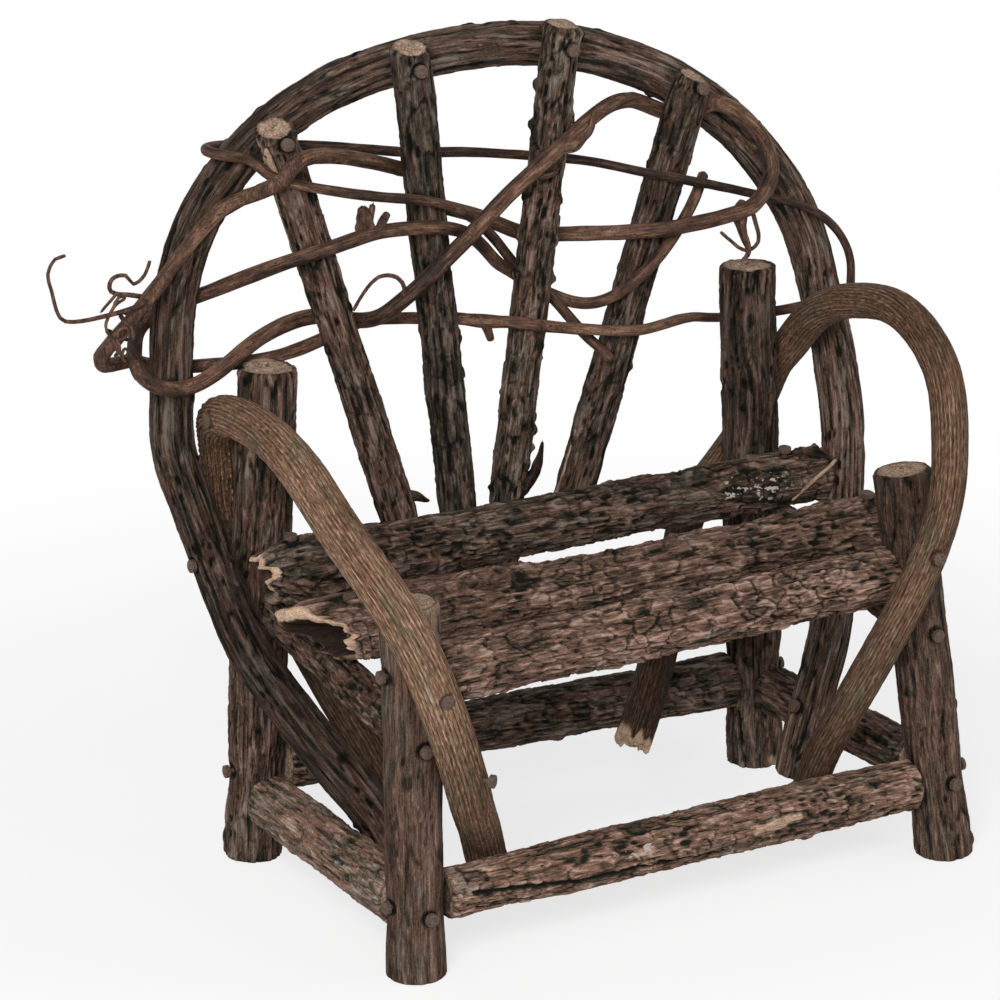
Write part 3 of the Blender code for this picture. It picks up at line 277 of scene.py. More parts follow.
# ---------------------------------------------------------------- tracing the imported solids

def solid(name):
    """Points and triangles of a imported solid, with its loose triangles joined."""
    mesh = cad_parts[name].data
    mesh.calc_loop_triangles()
    loose = points_of(mesh)
    corners = np.empty(len(mesh.loop_triangles) * 3, np.int64)
    mesh.loop_triangles.foreach_get("vertices", corners)
    keys = np.round(loose / JOIN).astype(np.int64)
    _, first, joined = np.unique(keys, axis=0, return_index=True, return_inverse=True)
    return loose[first], joined.ravel()[corners].reshape(-1, 3)


def unit(vector):
    return vector / np.linalg.norm(vector)


def walk_lengths(points, triangles, start):
    """How far every point of a solid is from a start, along the solid's edges."""
    ways = [[] for _ in points]
    for a, b, c in triangles:
        ways[a] += [b, c]
        ways[b] += [a, c]
        ways[c] += [a, b]
    walked = {start: 0.0}
    ahead = [(0.0, start)]
    while ahead:
        length, here = heapq.heappop(ahead)
        if length > walked[here]:
            continue
        for there in ways[here]:
            total = length + np.linalg.norm(points[there] - points[here])
            if total < walked.get(there, math.inf):
                walked[there] = total
                heapq.heappush(ahead, (total, there))
    return np.array([walked[index] for index in range(len(points))])


def level_rings(points, triangles, height):
    """Centre, radius and edge length of each ring on a solid where a height passes zero."""
    below = height < 0
    sides = below[triangles]
    crossed = triangles[sides.any(axis=1) & ~sides.all(axis=1)]
    pieces = []
    owners = {}
    for triangle in crossed:
        piece = {}
        for first, second in ((0, 1), (1, 2), (2, 0)):
            edge = tuple(sorted((triangle[first], triangle[second])))
            if below[edge[0]] != below[edge[1]]:
                share = height[edge[0]] / (height[edge[0]] - height[edge[1]])
                piece[edge] = points[edge[0]] + (points[edge[1]] - points[edge[0]]) * share
        for edge in piece:
            owners.setdefault(edge, []).append(len(pieces))
        pieces.append(piece)
    unseen = set(range(len(pieces)))
    while unseen:
        ring, ahead = [], [unseen.pop()]
        while ahead:
            here = ahead.pop()
            ring.append(np.array(list(pieces[here].values())))
            for edge in pieces[here]:
                for there in owners[edge]:
                    if there in unseen:
                        unseen.remove(there)
                        ahead.append(there)
        ends = np.array(ring)
        weight = np.linalg.norm(ends[:, 0] - ends[:, 1], axis=1) + JOIN
        centre = (ends.mean(axis=1) * weight[:, None]).sum(axis=0) / weight.sum()
        away = np.linalg.norm(ends - centre, axis=2).mean(axis=1)
        yield centre, (away * weight).sum() / weight.sum(), weight.sum()


def stoutness(points, triangles):
    """Usual radius of a long round solid, from its volume and its surface."""
    first, second, third = (points[triangles[:, corner]] for corner in range(3))
    area = np.linalg.norm(np.cross(second - first, third - first), axis=1).sum() / 2
    volume = abs(np.einsum("ij,ij->i", first, np.cross(second, third)).sum()) / 6
    return 2 * volume / area


def follow_straight(points, triangles, step):
    """Middle line and radii of a straight stick, from slices across its longest direction."""
    radius = stoutness(points, triangles)
    middle = points.mean(axis=0)
    run = np.linalg.svd(points - middle)[2][0]
    along = (points - middle) @ run
    low, high = along.min(), along.max()
    line, radii = [], []
    for length in np.linspace(low + step, high - step, round((high - low) / step)):
        rings = level_rings(points, triangles, along - length)
        centre, size, _ = max(rings, key=lambda ring: ring[2])
        line.append(centre)
        radii.append(size)
    line, radii = np.array(line), np.array(radii)
    steady = np.abs(radii - np.median(radii)) < radius * 0.35
    middle = line[steady].mean(axis=0)
    run = np.linalg.svd(line[steady] - middle)[2][0]
    run *= np.sign(run[np.abs(run).argmax()])
    along = (points - middle) @ run
    places = (line - middle) @ run
    order = np.argsort(places[steady])
    even = np.linspace(along.min(), along.max(), len(line))
    return middle + even[:, None] * run, np.interp(even, places[steady][order], radii[steady][order])


def follow_bent(points, triangles, step):
    """Middle line and radii of a bent stick, followed ring by ring from whichever end gives the longer
    line.
    """
    radius = stoutness(points, triangles)
    far = walk_lengths(points, triangles, 0).argmax()
    best = ([], [])
    for tip in (far, walk_lengths(points, triangles, far).argmax()):
        walked = walk_lengths(points, triangles, tip)
        line, radii = [], []
        for length in np.arange(radius * 2.5, walked.max(), step):
            rings = [ring for ring in level_rings(points, triangles, walked - length)
                     if 0.55 < ring[1] / radius < 1.9]
            if line:
                ahead = 2 * line[-1] - line[-2] if len(line) > 1 else line[-1]
                rings = [ring for ring in rings if np.linalg.norm(ring[0] - ahead) < 2 * radius + step]
                rings.sort(key=lambda ring: np.linalg.norm(ring[0] - ahead))
            if not rings:
                break
            line.append(rings[0][0])
            radii.append(rings[0][1])
        if len(line) > len(best[0]):
            best = (line, radii)
    line, radii = np.array(best[0]), np.array(best[1])
    for end, inner in ((0, 3), (-1, -4)):
        out = unit(line[end] - line[inner])
        near = points[np.linalg.norm(points - line[end], axis=1) < radius * 2.4]
        line[end] += out * max(((near - line[end]) @ out).max(), 0)
    usual = np.clip(radii, np.median(radii) * 0.75, np.median(radii) * 1.15)
    share = np.linspace(-1, 1, len(radii))
    return line, np.polyval(np.polyfit(share, usual, 2), share)


def blur(values, spread):
    """Smooth values along a line without pulling bends inwards or moving the two ends."""
    reach = int(spread * 3)
    kernel = np.exp(-0.5 * (np.arange(-reach, reach + 1) / spread) ** 2)
    kernel /= kernel.sum()

    def once(line):
        before = 2 * line[0] - line[reach:0:-1]
        after = 2 * line[-1] - line[-2:-reach - 2:-1]
        padded = np.concatenate([before, line, after])
        return np.stack([np.convolve(column, kernel, "valid") for column in padded.T], axis=1)

    soft = once(values)
    return 2 * soft - once(soft)


class Stick:
    """A traced stick: its line at even steps, its radius there, and two directions across it."""

    def __init__(self, line, radii, spread):
        lengths = np.concatenate([[0], np.cumsum(np.linalg.norm(np.diff(line, axis=0), axis=1))])
        count = max(8, round(lengths[-1] / EVEN_STEP))
        even = np.linspace(0, lengths[-1], count + 1)
        line = np.stack([np.interp(even, lengths, column) for column in line.T], axis=1)
        radii = np.interp(even, lengths, radii)
        spread = min(spread / EVEN_STEP, count / 8)
        self.line = blur(line, spread)
        self.radii = blur(radii[:, None], spread)[:, 0]
        self.even = even
        self.length = lengths[-1]
        self.run = np.gradient(self.line, axis=0)
        self.run /= np.linalg.norm(self.run, axis=1)[:, None]
        self.carry_sides()

    def carry_sides(self):
        """Carry a side direction along the line without twist. It starts towards the viewpoint."""
        side = np.array((EYE - Vector(self.line[0])).normalized())
        sides = []
        for run in self.run:
            side = unit(side - run * (side @ run))
            sides.append(side)
        self.side = np.array(sides)
        self.up = np.cross(self.run, self.side)

    def at(self, values, lengths):
        """Values that go along the line, read at lengths from its start."""
        if values.ndim == 1:
            return np.interp(lengths, self.even, values)
        return np.stack([np.interp(lengths, self.even, column) for column in values.T], axis=-1)


# ---------------------------------------------------------------- patterns of bark

def chance(across, along, seed):
    """A steady random number from 0 to 1 for each cell of a pattern."""
    mixed = (across * 374761393 + along * 668265263 + seed * 974634821) & 0xFFFFFFFF
    mixed = ((mixed ^ (mixed >> 13)) * 1274126177) & 0xFFFFFFFF
    return ((mixed ^ (mixed >> 16)) & 0xFFFFFF) / 0xFFFFFF


def ripple(turn, length, around, step, seed):
    """Smooth noise from -1 to 1 on a rolled sheet, with a whole number of cells round it."""
    across = turn * around
    along = length / step
    left, low = np.floor(across).astype(np.int64), np.floor(along).astype(np.int64)
    x, y = across - left, along - low
    x, y = x * x * (3 - 2 * x), y * y * (3 - 2 * y)
    near = chance(left % around, low, seed) * (1 - x) + chance((left + 1) % around, low, seed) * x
    far = chance(left % around, low + 1, seed) * (1 - x) + chance((left + 1) % around, low + 1, seed) * x
    return 2 * (near * (1 - y) + far * y) - 1


def plates(turn, length, around, step, seed):
    """Plates of bark in staggered strips: width of the gap to the next plate, each plate's own
    number, and the place along and across it."""
    across = turn * around
    left = np.floor(across).astype(np.int64)
    nearest = np.full(turn.shape, 9.0)
    second = np.full(turn.shape, 9.0)
    number = np.zeros(turn.shape)
    along_plate = np.zeros(turn.shape)
    for strip in (-1, 0, 1):
        column = left + strip
        kind = column % around
        along = length / step + chance(kind, kind * 0, seed)
        low = np.floor(along).astype(np.int64)
        for row in (-1, 0, 1):
            cell = low + row
            middle_x = column + 0.5 + 0.7 * (chance(kind, cell, seed + 1) - 0.5)
            middle_y = cell + 0.5 + 0.7 * (chance(kind, cell, seed + 2) - 0.5)
            gap_x, gap_y = across - middle_x, along - middle_y
            away = (np.abs(gap_x) ** 3 + np.abs(gap_y) ** 3) ** (1 / 3)
            closer = away < nearest
            second = np.where(closer, nearest, np.minimum(second, away))
            number = np.where(closer, chance(kind, cell, seed + 3), number)
            along_plate = np.where(closer, gap_y, along_plate)
            nearest = np.where(closer, away, nearest)
    return second - nearest, number, along_plate


def rise(values, low, high):
    """Smooth step from 0 at low to 1 at high."""
    share = np.clip((values - low) / (high - low), 0, 1)
    return share * share * (3 - 2 * share)


def crest(turn, length, around, step, seed):
    """Thin lines that wander along a rolled sheet: 1 on a line and 0 between lines."""
    return 1 - np.abs(ripple(turn, length, around, step, seed))


def bark_relief(turn, length, radius, bark, seed):
    """Height of rough bark in millimetres, its shade from 0 to 1, and each block's own number."""
    round_mm = math.tau * radius / MM
    wide = max(6, round(round_mm / bark["width"]))
    mm = length / MM
    sway = ripple(turn, mm, 3, 34, seed + 10) * 0.05 + ripple(turn, mm, wide // 2, 9, seed + 11) * 0.012
    swayed = (turn + sway * bark["wander"]) % 1.0
    patch = rise(ripple(turn, mm, 3, 24, seed + 40), -0.5, 0.6)
    broad = ripple(swayed, mm, wide, bark["length"], seed)
    thin = ripple(swayed, mm, wide * 2, bark["length"] * 0.7, seed + 1)
    hair = ripple(swayed, mm, wide * 4, bark["length"] * 0.6, seed + 2)
    ridge = rise(crest(swayed, mm, wide * 2, bark["length"] * 1.1, seed + 3), 0.78, 0.98)
    furrow = rise(crest(swayed, mm, wide, bark["length"] * 1.3, seed + 4), 0.86, 0.99)
    gap, number, along = plates(swayed, mm + ripple(turn, mm, wide, 6, seed + 12) * 1.2,
                                max(4, round(round_mm / 4.6)), 8.5, seed + 5)
    cracked = bark["blocks"] * (0.35 + 0.65 * patch)
    crack = (1 - rise(gap, 0.03, 0.16)) * cracked
    lip = rise(gap, 0.10, 0.20) * (1 - rise(gap, 0.22, 0.42)) * cracked
    pit_gap, pit_number, _ = plates(swayed, mm, wide, 5.5, seed + 50)
    pitted = rise(ripple(turn, mm, 4, 15, seed + 41), -0.2, 0.5) * (pit_number < bark["pits"])
    pit = rise(pit_gap, 0.30, 0.70) * pitted
    height = (0.42 * broad + 0.30 * thin + 0.16 * hair + 0.40 * ridge - 0.75 * furrow - 0.70 * crack
              + 0.30 * lip - 1.10 * pit + 0.55 * cracked * (number - 0.5) + 0.9 * cracked * along)
    # The tone is darker in furrows, cracks and pits and lighter on ridges and lips: partly the bark's
    # own colour, partly painted shade in the hollows and painted highlight on the ridge tops.
    tone = (0.50 + 0.10 * broad + 0.10 * thin + 0.10 * hair + 0.20 * ridge - 0.26 * furrow - 0.26 * crack
            + 0.16 * lip - 0.42 * pit + 0.14 * cracked * (number - 0.5))
    knob_gap, knob_number, _ = plates(turn, mm, max(4, wide // 2), 7, seed + 60)
    knob = rise(knob_gap, 0.25, 0.75) * (knob_number < bark["knobs"])
    wave = 0.30 * ripple(turn, mm, 2, 45, seed + 70) + 0.20 * ripple(turn, mm, 3, 18, seed + 71)
    lumpy = bark["depth"] * (height + 0.25) + wave + bark["knob_height"] * knob
    return lumpy, np.clip(tone - 0.22 * knob, 0, 1), number


# ---------------------------------------------------------------- rolling a sheet round a stick

def edit():
    bpy.ops.object.mode_set(mode="EDIT")


def leave_edit():
    bpy.ops.object.mode_set(mode="OBJECT")


def start_clean():
    if bpy.context.object and bpy.context.object.mode != "OBJECT":
        leave_edit()
    bpy.ops.object.select_all(action="DESELECT")


def take_up(piece):
    """Make a piece the only one picked, and open it for editing with all its points joined."""
    start_clean()
    piece.select_set(True)
    bpy.context.view_layer.objects.active = piece
    edit()
    bpy.ops.mesh.select_all(action="SELECT")
    bpy.ops.mesh.remove_doubles(threshold=JOIN * 4)


def pick_faces(piece, wanted):
    """Pick the faces of an open piece that are wanted, and no others."""
    bpy.ops.mesh.select_all(action="DESELECT")
    leave_edit()
    for face in piece.data.polygons:
        face.select = wanted(face)
    edit()
    bpy.ops.mesh.select_mode(type="FACE")


def points_of(mesh):
    places = np.empty(len(mesh.vertices) * 3)
    mesh.vertices.foreach_get("co", places)
    return places.reshape(-1, 3)


def flat_sheet(name, around, along):
    """A flat grid, and for each of its points the share round the stick and the row along it."""
    start_clean()
    bpy.ops.mesh.primitive_grid_add(x_subdivisions=around, y_subdivisions=along, size=1.0,
                                    location=(0, 0, 0))
    sheet = bpy.context.object
    sheet.name = name
    sheet.data.name = name
    flat = points_of(sheet.data)
    turn = np.round((flat[:, 0] + 0.5) * around) / around
    row = np.round((flat[:, 1] + 0.5) * along).astype(np.int64)
    return sheet, turn, row


def close_sheet(sheet):
    """Join the rolled sheet's seam and the middles of its ends, and turn its faces outwards."""
    take_up(sheet)
    bpy.ops.mesh.normals_make_consistent(inside=False)
    leave_edit()
    bpy.ops.object.shade_smooth()


def note(sheet, name, values):
    """Keep a value for each point, for the sheet's finish to read."""
    kind = "FLOAT_VECTOR" if values.ndim == 2 else "FLOAT"
    kept = sheet.data.attributes.new(name, kind, "POINT")
    kept.data.foreach_set("vector" if values.ndim == 2 else "value", values.astype(np.float32).ravel())


class Roll:
    """The places of a sheet's points on its stick: body rows, and cap rows that close each end."""

    def __init__(self, name, stick, step_along, step_around):
        self.stick = stick
        around = max(12, round(math.tau * stick.radii.mean() / step_around))
        rows = max(4, round(stick.length / step_along))
        self.sheet, self.turn, row = flat_sheet(name, around, rows + 2 * CAP_ROWS)
        body = np.clip(row - CAP_ROWS, 0, rows)
        self.length = body / rows * stick.length
        first = np.clip(CAP_ROWS - row, 0, CAP_ROWS) / CAP_ROWS
        last = np.clip(row - CAP_ROWS - rows, 0, CAP_ROWS) / CAP_ROWS
        self.inward = np.maximum(first, last)
        self.end = np.where(first > 0, -1, np.where(last > 0, 1, 0))

    def round_rim(self):
        """How much the sheet draws in where it turns over the rim of an end."""
        to_end = np.minimum(self.length, self.stick.length - self.length)
        short = 1 - np.clip(to_end / RIM_ROUNDING, 0, 1)
        return RIM_ROUNDING * (1 - np.sqrt(np.clip(1 - short ** 2, 0, 1)))

    def sawn(self):
        """How much of each point is on sawn wood, from 0 to 1."""
        return rise(self.inward, *SAWN_RIM)

    def out(self):
        """The direction that each point of the sheet faces."""
        angle = self.turn[:, None] * math.tau
        return (np.cos(angle) * self.stick.at(self.stick.side, self.length)
                + np.sin(angle) * self.stick.at(self.stick.up, self.length))

    def place(self, height, shift):
        """Put every point in place: a height out from the stick and a shift along it, in metres."""
        stick = self.stick
        radius = stick.at(stick.radii, self.length) + height - self.round_rim()
        radius = np.maximum(radius, THINNEST) * (1 - self.inward)
        angle = self.turn * math.tau
        run = stick.at(stick.run, self.length)
        places = stick.at(stick.line, self.length) + self.out() * radius[:, None] + run * shift[:, None]
        grain = np.stack([radius * np.cos(angle), radius * np.sin(angle), self.length + shift], axis=1)
        return places, grain

    def finish(self, places, grain, **values):
        self.sheet.data.vertices.foreach_set("co", places.astype(np.float32).ravel())
        note(self.sheet, "grain", grain)
        for name, value in values.items():
            note(self.sheet, name, value)
        close_sheet(self.sheet)
        return self.sheet


def sawn_end(roll, seed):
    """How far a sawn face stands out at each point of the end caps: rough and a little crowned."""
    to_heart = roll.inward * 6
    ragged = (0.45 * ripple(roll.turn, to_heart, 9, 1.5, seed)
              + 0.35 * ripple(roll.turn, to_heart, 4, 3, seed + 1)
              + 0.30 * ripple(roll.turn, to_heart, 21, 0.8, seed + 2))
    crowned = 0.6 * roll.inward ** 2
    return roll.end * (ragged * (1 - 0.5 * roll.inward) + crowned) * MM


def long_ridges(roll):
    """The long ridges that a seat log's solid has."""
    run = roll.stick.run[0]
    side = unit(np.cross(run, (0, 0, 1)))
    out = roll.out()
    angle = np.arctan2(out @ np.cross(run, side), out @ side)
    sway = np.sin(math.tau * roll.length / RIDGE_SWAY)
    return RIDGE_DEPTH / 2 * np.cos(RIDGE_COUNT * angle + RIDGE_SWING * sway)


def splits(turn, around, seed):
    """Values from 0 to 1 that jump from strip to strip round a stick, as split wood does."""
    across = turn * around
    left = np.floor(across).astype(np.int64)
    share = rise(across - left, 0.35, 0.65)
    return (chance(left % around, left * 0, seed) * (1 - share)
            + chance((left + 1) % around, left * 0, seed) * share)


def broken_end(roll, longest, reach, seed):
    """How far the left end of a log is broken back: slanted, split, and hollow in its middle."""
    size = roll.stick.radii[0]
    lean = roll.out() @ np.array(longest) * (1 - roll.inward)
    coarse, fine = (splits(roll.turn, strips, seed + order) for order, strips in enumerate(SPLIT_STRIPS))
    slant = BREAK_SLANT * size * (1 - lean) - reach * rise(lean, -0.1, 0.9) * (0.45 + 0.75 * coarse)
    slant *= 1 - rise(roll.length, 0, SLANT_FADE)
    jagged = SPLIT_STEPS[0] * (coarse - 0.5) + SPLIT_STEPS[1] * (fine - 0.5)
    jagged *= (1 - rise(roll.length, 0, SPLIT_FADE)) * (1 - rise(roll.inward, 0.04, 0.30))
    hollow = HOLLOW_DEPTH * rise(roll.inward, 0.05, 0.50)
    return np.where(roll.end <= 0, slant + jagged + hollow, 0)


def nail_seat(name):
    """Where a packed nail sits: the middle of its head, the way it points, and the head's radius."""
    points, _ = solid(name)
    middle = points.mean(axis=0)
    run = np.linalg.svd(points - middle)[2][0]
    along = (points - middle) @ run
    across = np.linalg.norm((points - middle) - along[:, None] * run, axis=1)
    if along[across.argmax()] > 0:
        run, along = -run, -along
    axis_middle = middle + run * along.min()
    near = points[along < along.min() + HEAD_ZONE]
    head = near.mean(axis=0)
    head += run * ((axis_middle - head) @ run)
    return head, run, across.max(), along.max() - along.min()


def slanted_top(roll, drop):
    """How far a top is cut down towards the front."""
    to_end = roll.stick.length - roll.length
    facing = 0.5 - 0.5 * roll.out()[:, 1] * (1 - roll.inward)
    return -drop * facing * (1 - rise(to_end, 0, TOP_FADE))


def nail_dimples(places):
    """How much each point lies in the dimple round a nail's head, from 0 to 1."""
    share = np.zeros(len(places))
    for name in NAILS:
        head, run, radius, _ = nail_seat(name)
        gap = places - head
        along = gap @ run
        across = np.linalg.norm(gap - along[:, None] * run, axis=1)
        near = (1 - rise(across, radius, radius * DIMPLE_WIDTH)) * (np.abs(along) < DIMPLE_REACH)
        share = np.maximum(share, near)
    return share


def mark_share(roll, start, end, wide, seed):
    """How much of a mark each point of a sheet has, from 0 to 1. The mark has a ragged edge."""
    round_mm = math.tau * roll.stick.radii.mean() / MM
    mm = roll.length / MM
    x = ((roll.turn - start[0] + 0.5) % 1 - 0.5) * round_mm
    y = mm - start[1]
    end_x = ((end[0] - start[0] + 0.5) % 1 - 0.5) * round_mm
    end_y = end[1] - start[1]
    share = np.clip((x * end_x + y * end_y) / (end_x ** 2 + end_y ** 2), 0, 1)
    away = np.hypot(x - share * end_x, y - share * end_y)
    away += 0.45 * wide * ripple(roll.turn, mm, round(round_mm / 1.6), 4, seed)
    return (1 - rise(away, wide * 0.55, wide)) * (roll.end == 0)


def add_bark_stick(name, seed):
    kind, own = STICKS[name]
    bark = {**dict(zip(BARK_TERMS, BARKS[kind])), **own}
    follow = follow_bent if name == "back_arch" else follow_straight
    stick = Stick(*follow(*solid(name), STICK_TRACE), STICK_SPREAD)
    roll = Roll(name + "_bark", stick, BARK_ALONG, BARK_AROUND)
    height, tone, number = bark_relief(roll.turn, roll.length, stick.radii.mean(), bark, seed)
    height = height * MM
    tone = 0.5 + (tone - 0.5) * bark["contrast"]
    shift = np.where(roll.end != 0, sawn_end(roll, seed + SAWN_SEED), 0)
    cut = roll.sawn()
    shade, grey = np.full(len(cut), bark["shade"]), np.full(len(cut), bark["grey"])
    hollow, bare, lichen = np.zeros((3, len(cut)))
    if name.startswith("seat_log"):
        height += long_ridges(roll) * (1 - roll.inward)
    if name in BROKEN_LOGS:
        shift = np.where(roll.end > 0, shift, broken_end(roll, *BROKEN_LOGS[name], seed + BROKEN_SEED))
        lit_share = rise(roll.out() @ np.array(LIT_END_SIDE), -0.25, 0.10)
        # The hollow middle and the side of the end away from the light are painted dark: painted shade.
        hollow = np.maximum(rise(roll.inward, 0.06, 0.16), 1 - lit_share) * (roll.end < 0)
        torn = (0.8 + 4.2 * splits(roll.turn, TORN_STRIPS, seed + TORN_SEED) ** 2) * MM
        bare = np.where(roll.end < 0, 1, 1 - rise(roll.length, torn * 0.6, torn)) * lit_share
    if name == "stretcher_front":
        hollow = 0.8 * rise(roll.inward, 0.10, 0.30) * (roll.end < 0)
    for order, (kind, start, end, wide, strength) in enumerate(MARKS.get(name, ())):
        share = strength * mark_share(roll, start, end, wide, seed + MARK_SEED + order)
        if kind == "split":
            height -= SPLIT_DEPTH * share
            # A split is painted darker as well as cut in: partly the wood's own dark, partly painted
            # shade in the crack.
            tone = tone - 0.5 * share
        elif kind == "bare":
            height -= PEEL_DEPTH * share
            bare = np.maximum(bare, share)
        elif kind == "knot":
            height += KNOT_HEIGHT * share
            tone = tone - 0.20 * share
        # This kind of mark raises or lowers the stick's shade along the mark; where it lowers it, that
        # is painted shade.
        elif kind == "worn":
            shade = shade * (1 + share)
        elif kind == "swell":
            height += MM * share
        else:
            lichen = np.maximum(lichen, share)
    if name in CUT_DOWN:
        shift = shift + np.where(roll.end >= 0, slanted_top(roll, CUT_DOWN[name]), 0)
    dimple = nail_dimples(roll.place(height, shift)[0]) * (roll.end == 0)
    # Painted shade: the bark is darkened in the dimple round each nail head.
    tone = tone - 0.35 * dimple
    places, grain = roll.place(height - DIMPLE_DEPTH * dimple, shift)
    places[:, 2] = np.maximum(places[:, 2], 0)
    return roll.finish(places, grain, tone=tone, plate=number, cut=cut, shade=shade, grey=grey,
                       hollow=hollow, bare=bare, lichen=lichen, heart=1 - roll.inward)


def splintered_end(roll, side, seed):
    """How far the end that snapped off is drawn out in splinters, and how bare the wood is there."""
    to_end = roll.length if side < 0 else roll.stick.length - roll.length
    level = roll.length * 0
    fine = 1.8 * ripple(roll.turn, level, 27, 1, seed) + 2.2 * ripple(roll.turn, level, 7, 1, seed + 1)
    inner = 1.6 * ripple(roll.turn, roll.inward * 6, 14, 1, seed + 2)
    drawn = fine * (1 - rise(to_end, 0, 7 * MM)) * (1 - roll.inward) + inner * rise(roll.inward, 0, 0.4)
    on_end = roll.end == side
    peeled = (3.5 + 2.5 * ripple(roll.turn, level, 19, 1, seed + 3)) * MM
    bare = np.where(on_end, 1, (1 - rise(to_end, peeled * 0.5, peeled)) * (roll.end == 0))
    return np.where((roll.end == 0) | on_end, side * drawn * MM, 0), bare


def add_arm(name):
    seed, shade, snapped, (scaly_from, scaly_to) = ARMS[name]
    stick = Stick(*follow_bent(*solid(name), STICK_TRACE), STICK_SPREAD)
    roll = Roll(name + "_branch", stick, SMOOTH_ALONG, SMOOTH_AROUND)
    mm = roll.length / MM
    sway = 0.5 * ripple(roll.turn, mm, 4, 60, seed + 3) + 0.35 * ripple(roll.turn, mm, 9, 22, seed + 4)
    line = np.cos(math.tau * ARM_LINES * roll.turn + 2.2 * sway)
    dots = ripple(roll.turn, mm, 2 * ARM_LINES, 2.0, seed + 5)
    height = (0.08 * line + 0.08 * dots + 0.24 * ripple(roll.turn, mm, 5, 30, seed + 1)
              + 0.20 * ripple(roll.turn, mm, 2, 50, seed + 2))
    scaly = rise(mm, scaly_from - 8, scaly_from + 8) * (1 - rise(mm, scaly_to - 8, scaly_to + 8))
    gap, _, _ = plates(roll.turn, mm, 18, 2.4, seed + 7)
    scale = rise(gap, 0.10, 0.60) * scaly
    height += 0.5 * scale
    shift = np.where(roll.end != 0, sawn_end(roll, seed + SAWN_SEED), 0)
    splinters, bare = splintered_end(roll, snapped, seed + BROKEN_SEED)
    shift = np.where(roll.end == -snapped, shift, splinters)
    dimple = nail_dimples(roll.place(height * MM, shift)[0]) * (roll.end == 0)
    places, grain = roll.place(height * MM - DIMPLE_DEPTH * dimple, shift)
    # The tone is painted darker in the dimple round each nail head, as painted shade.
    tone = (0.5 - 0.5 * dimple + 0.26 * line + 0.26 * dots - 0.30 * scaly * (1 - scale)
            + 0.20 * ripple(roll.turn, mm, 3, 30, seed + 6))
    cut = roll.sawn() * (roll.end != snapped)
    to_snap = mm if snapped < 0 else stick.length / MM - mm
    to_foot = stick.length / MM - to_snap
    # Painted shade: the bark darkens towards the snapped tail under the seat; it also darkens towards
    # the foot.
    shade = (shade * (TAIL_SHADE + (1 - TAIL_SHADE) * rise(to_snap, *TAIL_FADE))
             * (FOOT_SHADE + (1 - FOOT_SHADE) * rise(to_foot, *FOOT_FADE)))
    return roll.finish(places, grain, tone=tone, cut=cut, shade=shade, bare=bare, heart=1 - roll.inward)


def add_vine(name):
    seed, mean = VINES[name]
    stick = Stick(*follow_bent(*solid(name), VINE_TRACE), VINE_SPREAD)
    roll = Roll(name + "_stem", stick, VINE_ALONG, VINE_AROUND)
    mm = roll.length / MM
    height = 0.14 * ripple(roll.turn, mm, 4, 16, seed) + 0.10 * ripple(roll.turn, mm, 8, 6, seed + 1)
    shift = np.where(roll.end != 0, sawn_end(roll, seed + SAWN_SEED) * 0.3, 0)
    places, grain = roll.place(height * MM, shift)
    tone = mean + 0.5 * ripple(roll.turn, mm, 3, 25, seed + 2)
    return roll.finish(places, grain, tone=tone, cut=roll.sawn(), heart=1 - roll.inward), stick


# ---------------------------------------------------------------- finishes

class Value:
    """A socket of a finish. Arithmetic on it adds Math nodes."""

    def __init__(self, finish, socket):
        self.finish = finish
        self.socket = socket

    def maths(self, operation, first, second=0.0):
        return self.finish.node("Math", {0: first, 1: second}, operation=operation)

    def __add__(self, other):
        return self.maths("ADD", self, other)

    __radd__ = __add__

    def __mul__(self, other):
        return self.maths("MULTIPLY", self, other)

    __rmul__ = __mul__

    def __sub__(self, other):
        return self.maths("SUBTRACT", self, other)

    def __rsub__(self, other):
        return self.maths("SUBTRACT", other, self)

    def between(self, low, high):
        """From 0 at low to 1 at high, smoothly."""
        return self.finish.node("MapRange", {0: self, 1: low, 2: high},
                                interpolation_type="SMOOTHSTEP")


class Nodes:
    """A node tree in the making."""

    def __init__(self, tree, output):
        self.tree = tree
        tree.nodes.clear()
        self.output = tree.nodes.new("ShaderNode" + output)

    def node(self, kind, inputs, output=0, stops=None, **settings):
        """Add a node: its settings first, then the values or links of its sockets."""
        made = self.tree.nodes.new("ShaderNode" + kind)
        for name, value in settings.items():
            setattr(made, name, value)
        if stops:
            ramp = made.color_ramp
            while len(ramp.elements) < len(stops):
                ramp.elements.new(1.0)
            for element, (place, colour) in zip(ramp.elements, stops):
                element.position = place
                element.color = (*colour, 1.0)
        for place, value in inputs.items():
            socket = made.inputs[place]
            if isinstance(value, Value):
                self.tree.links.new(value.socket, socket)
            else:
                socket.default_value = value
        return Value(self, made.outputs[output])

    def show(self, shader):
        self.tree.links.new(shader.socket, self.output.inputs["Surface"])


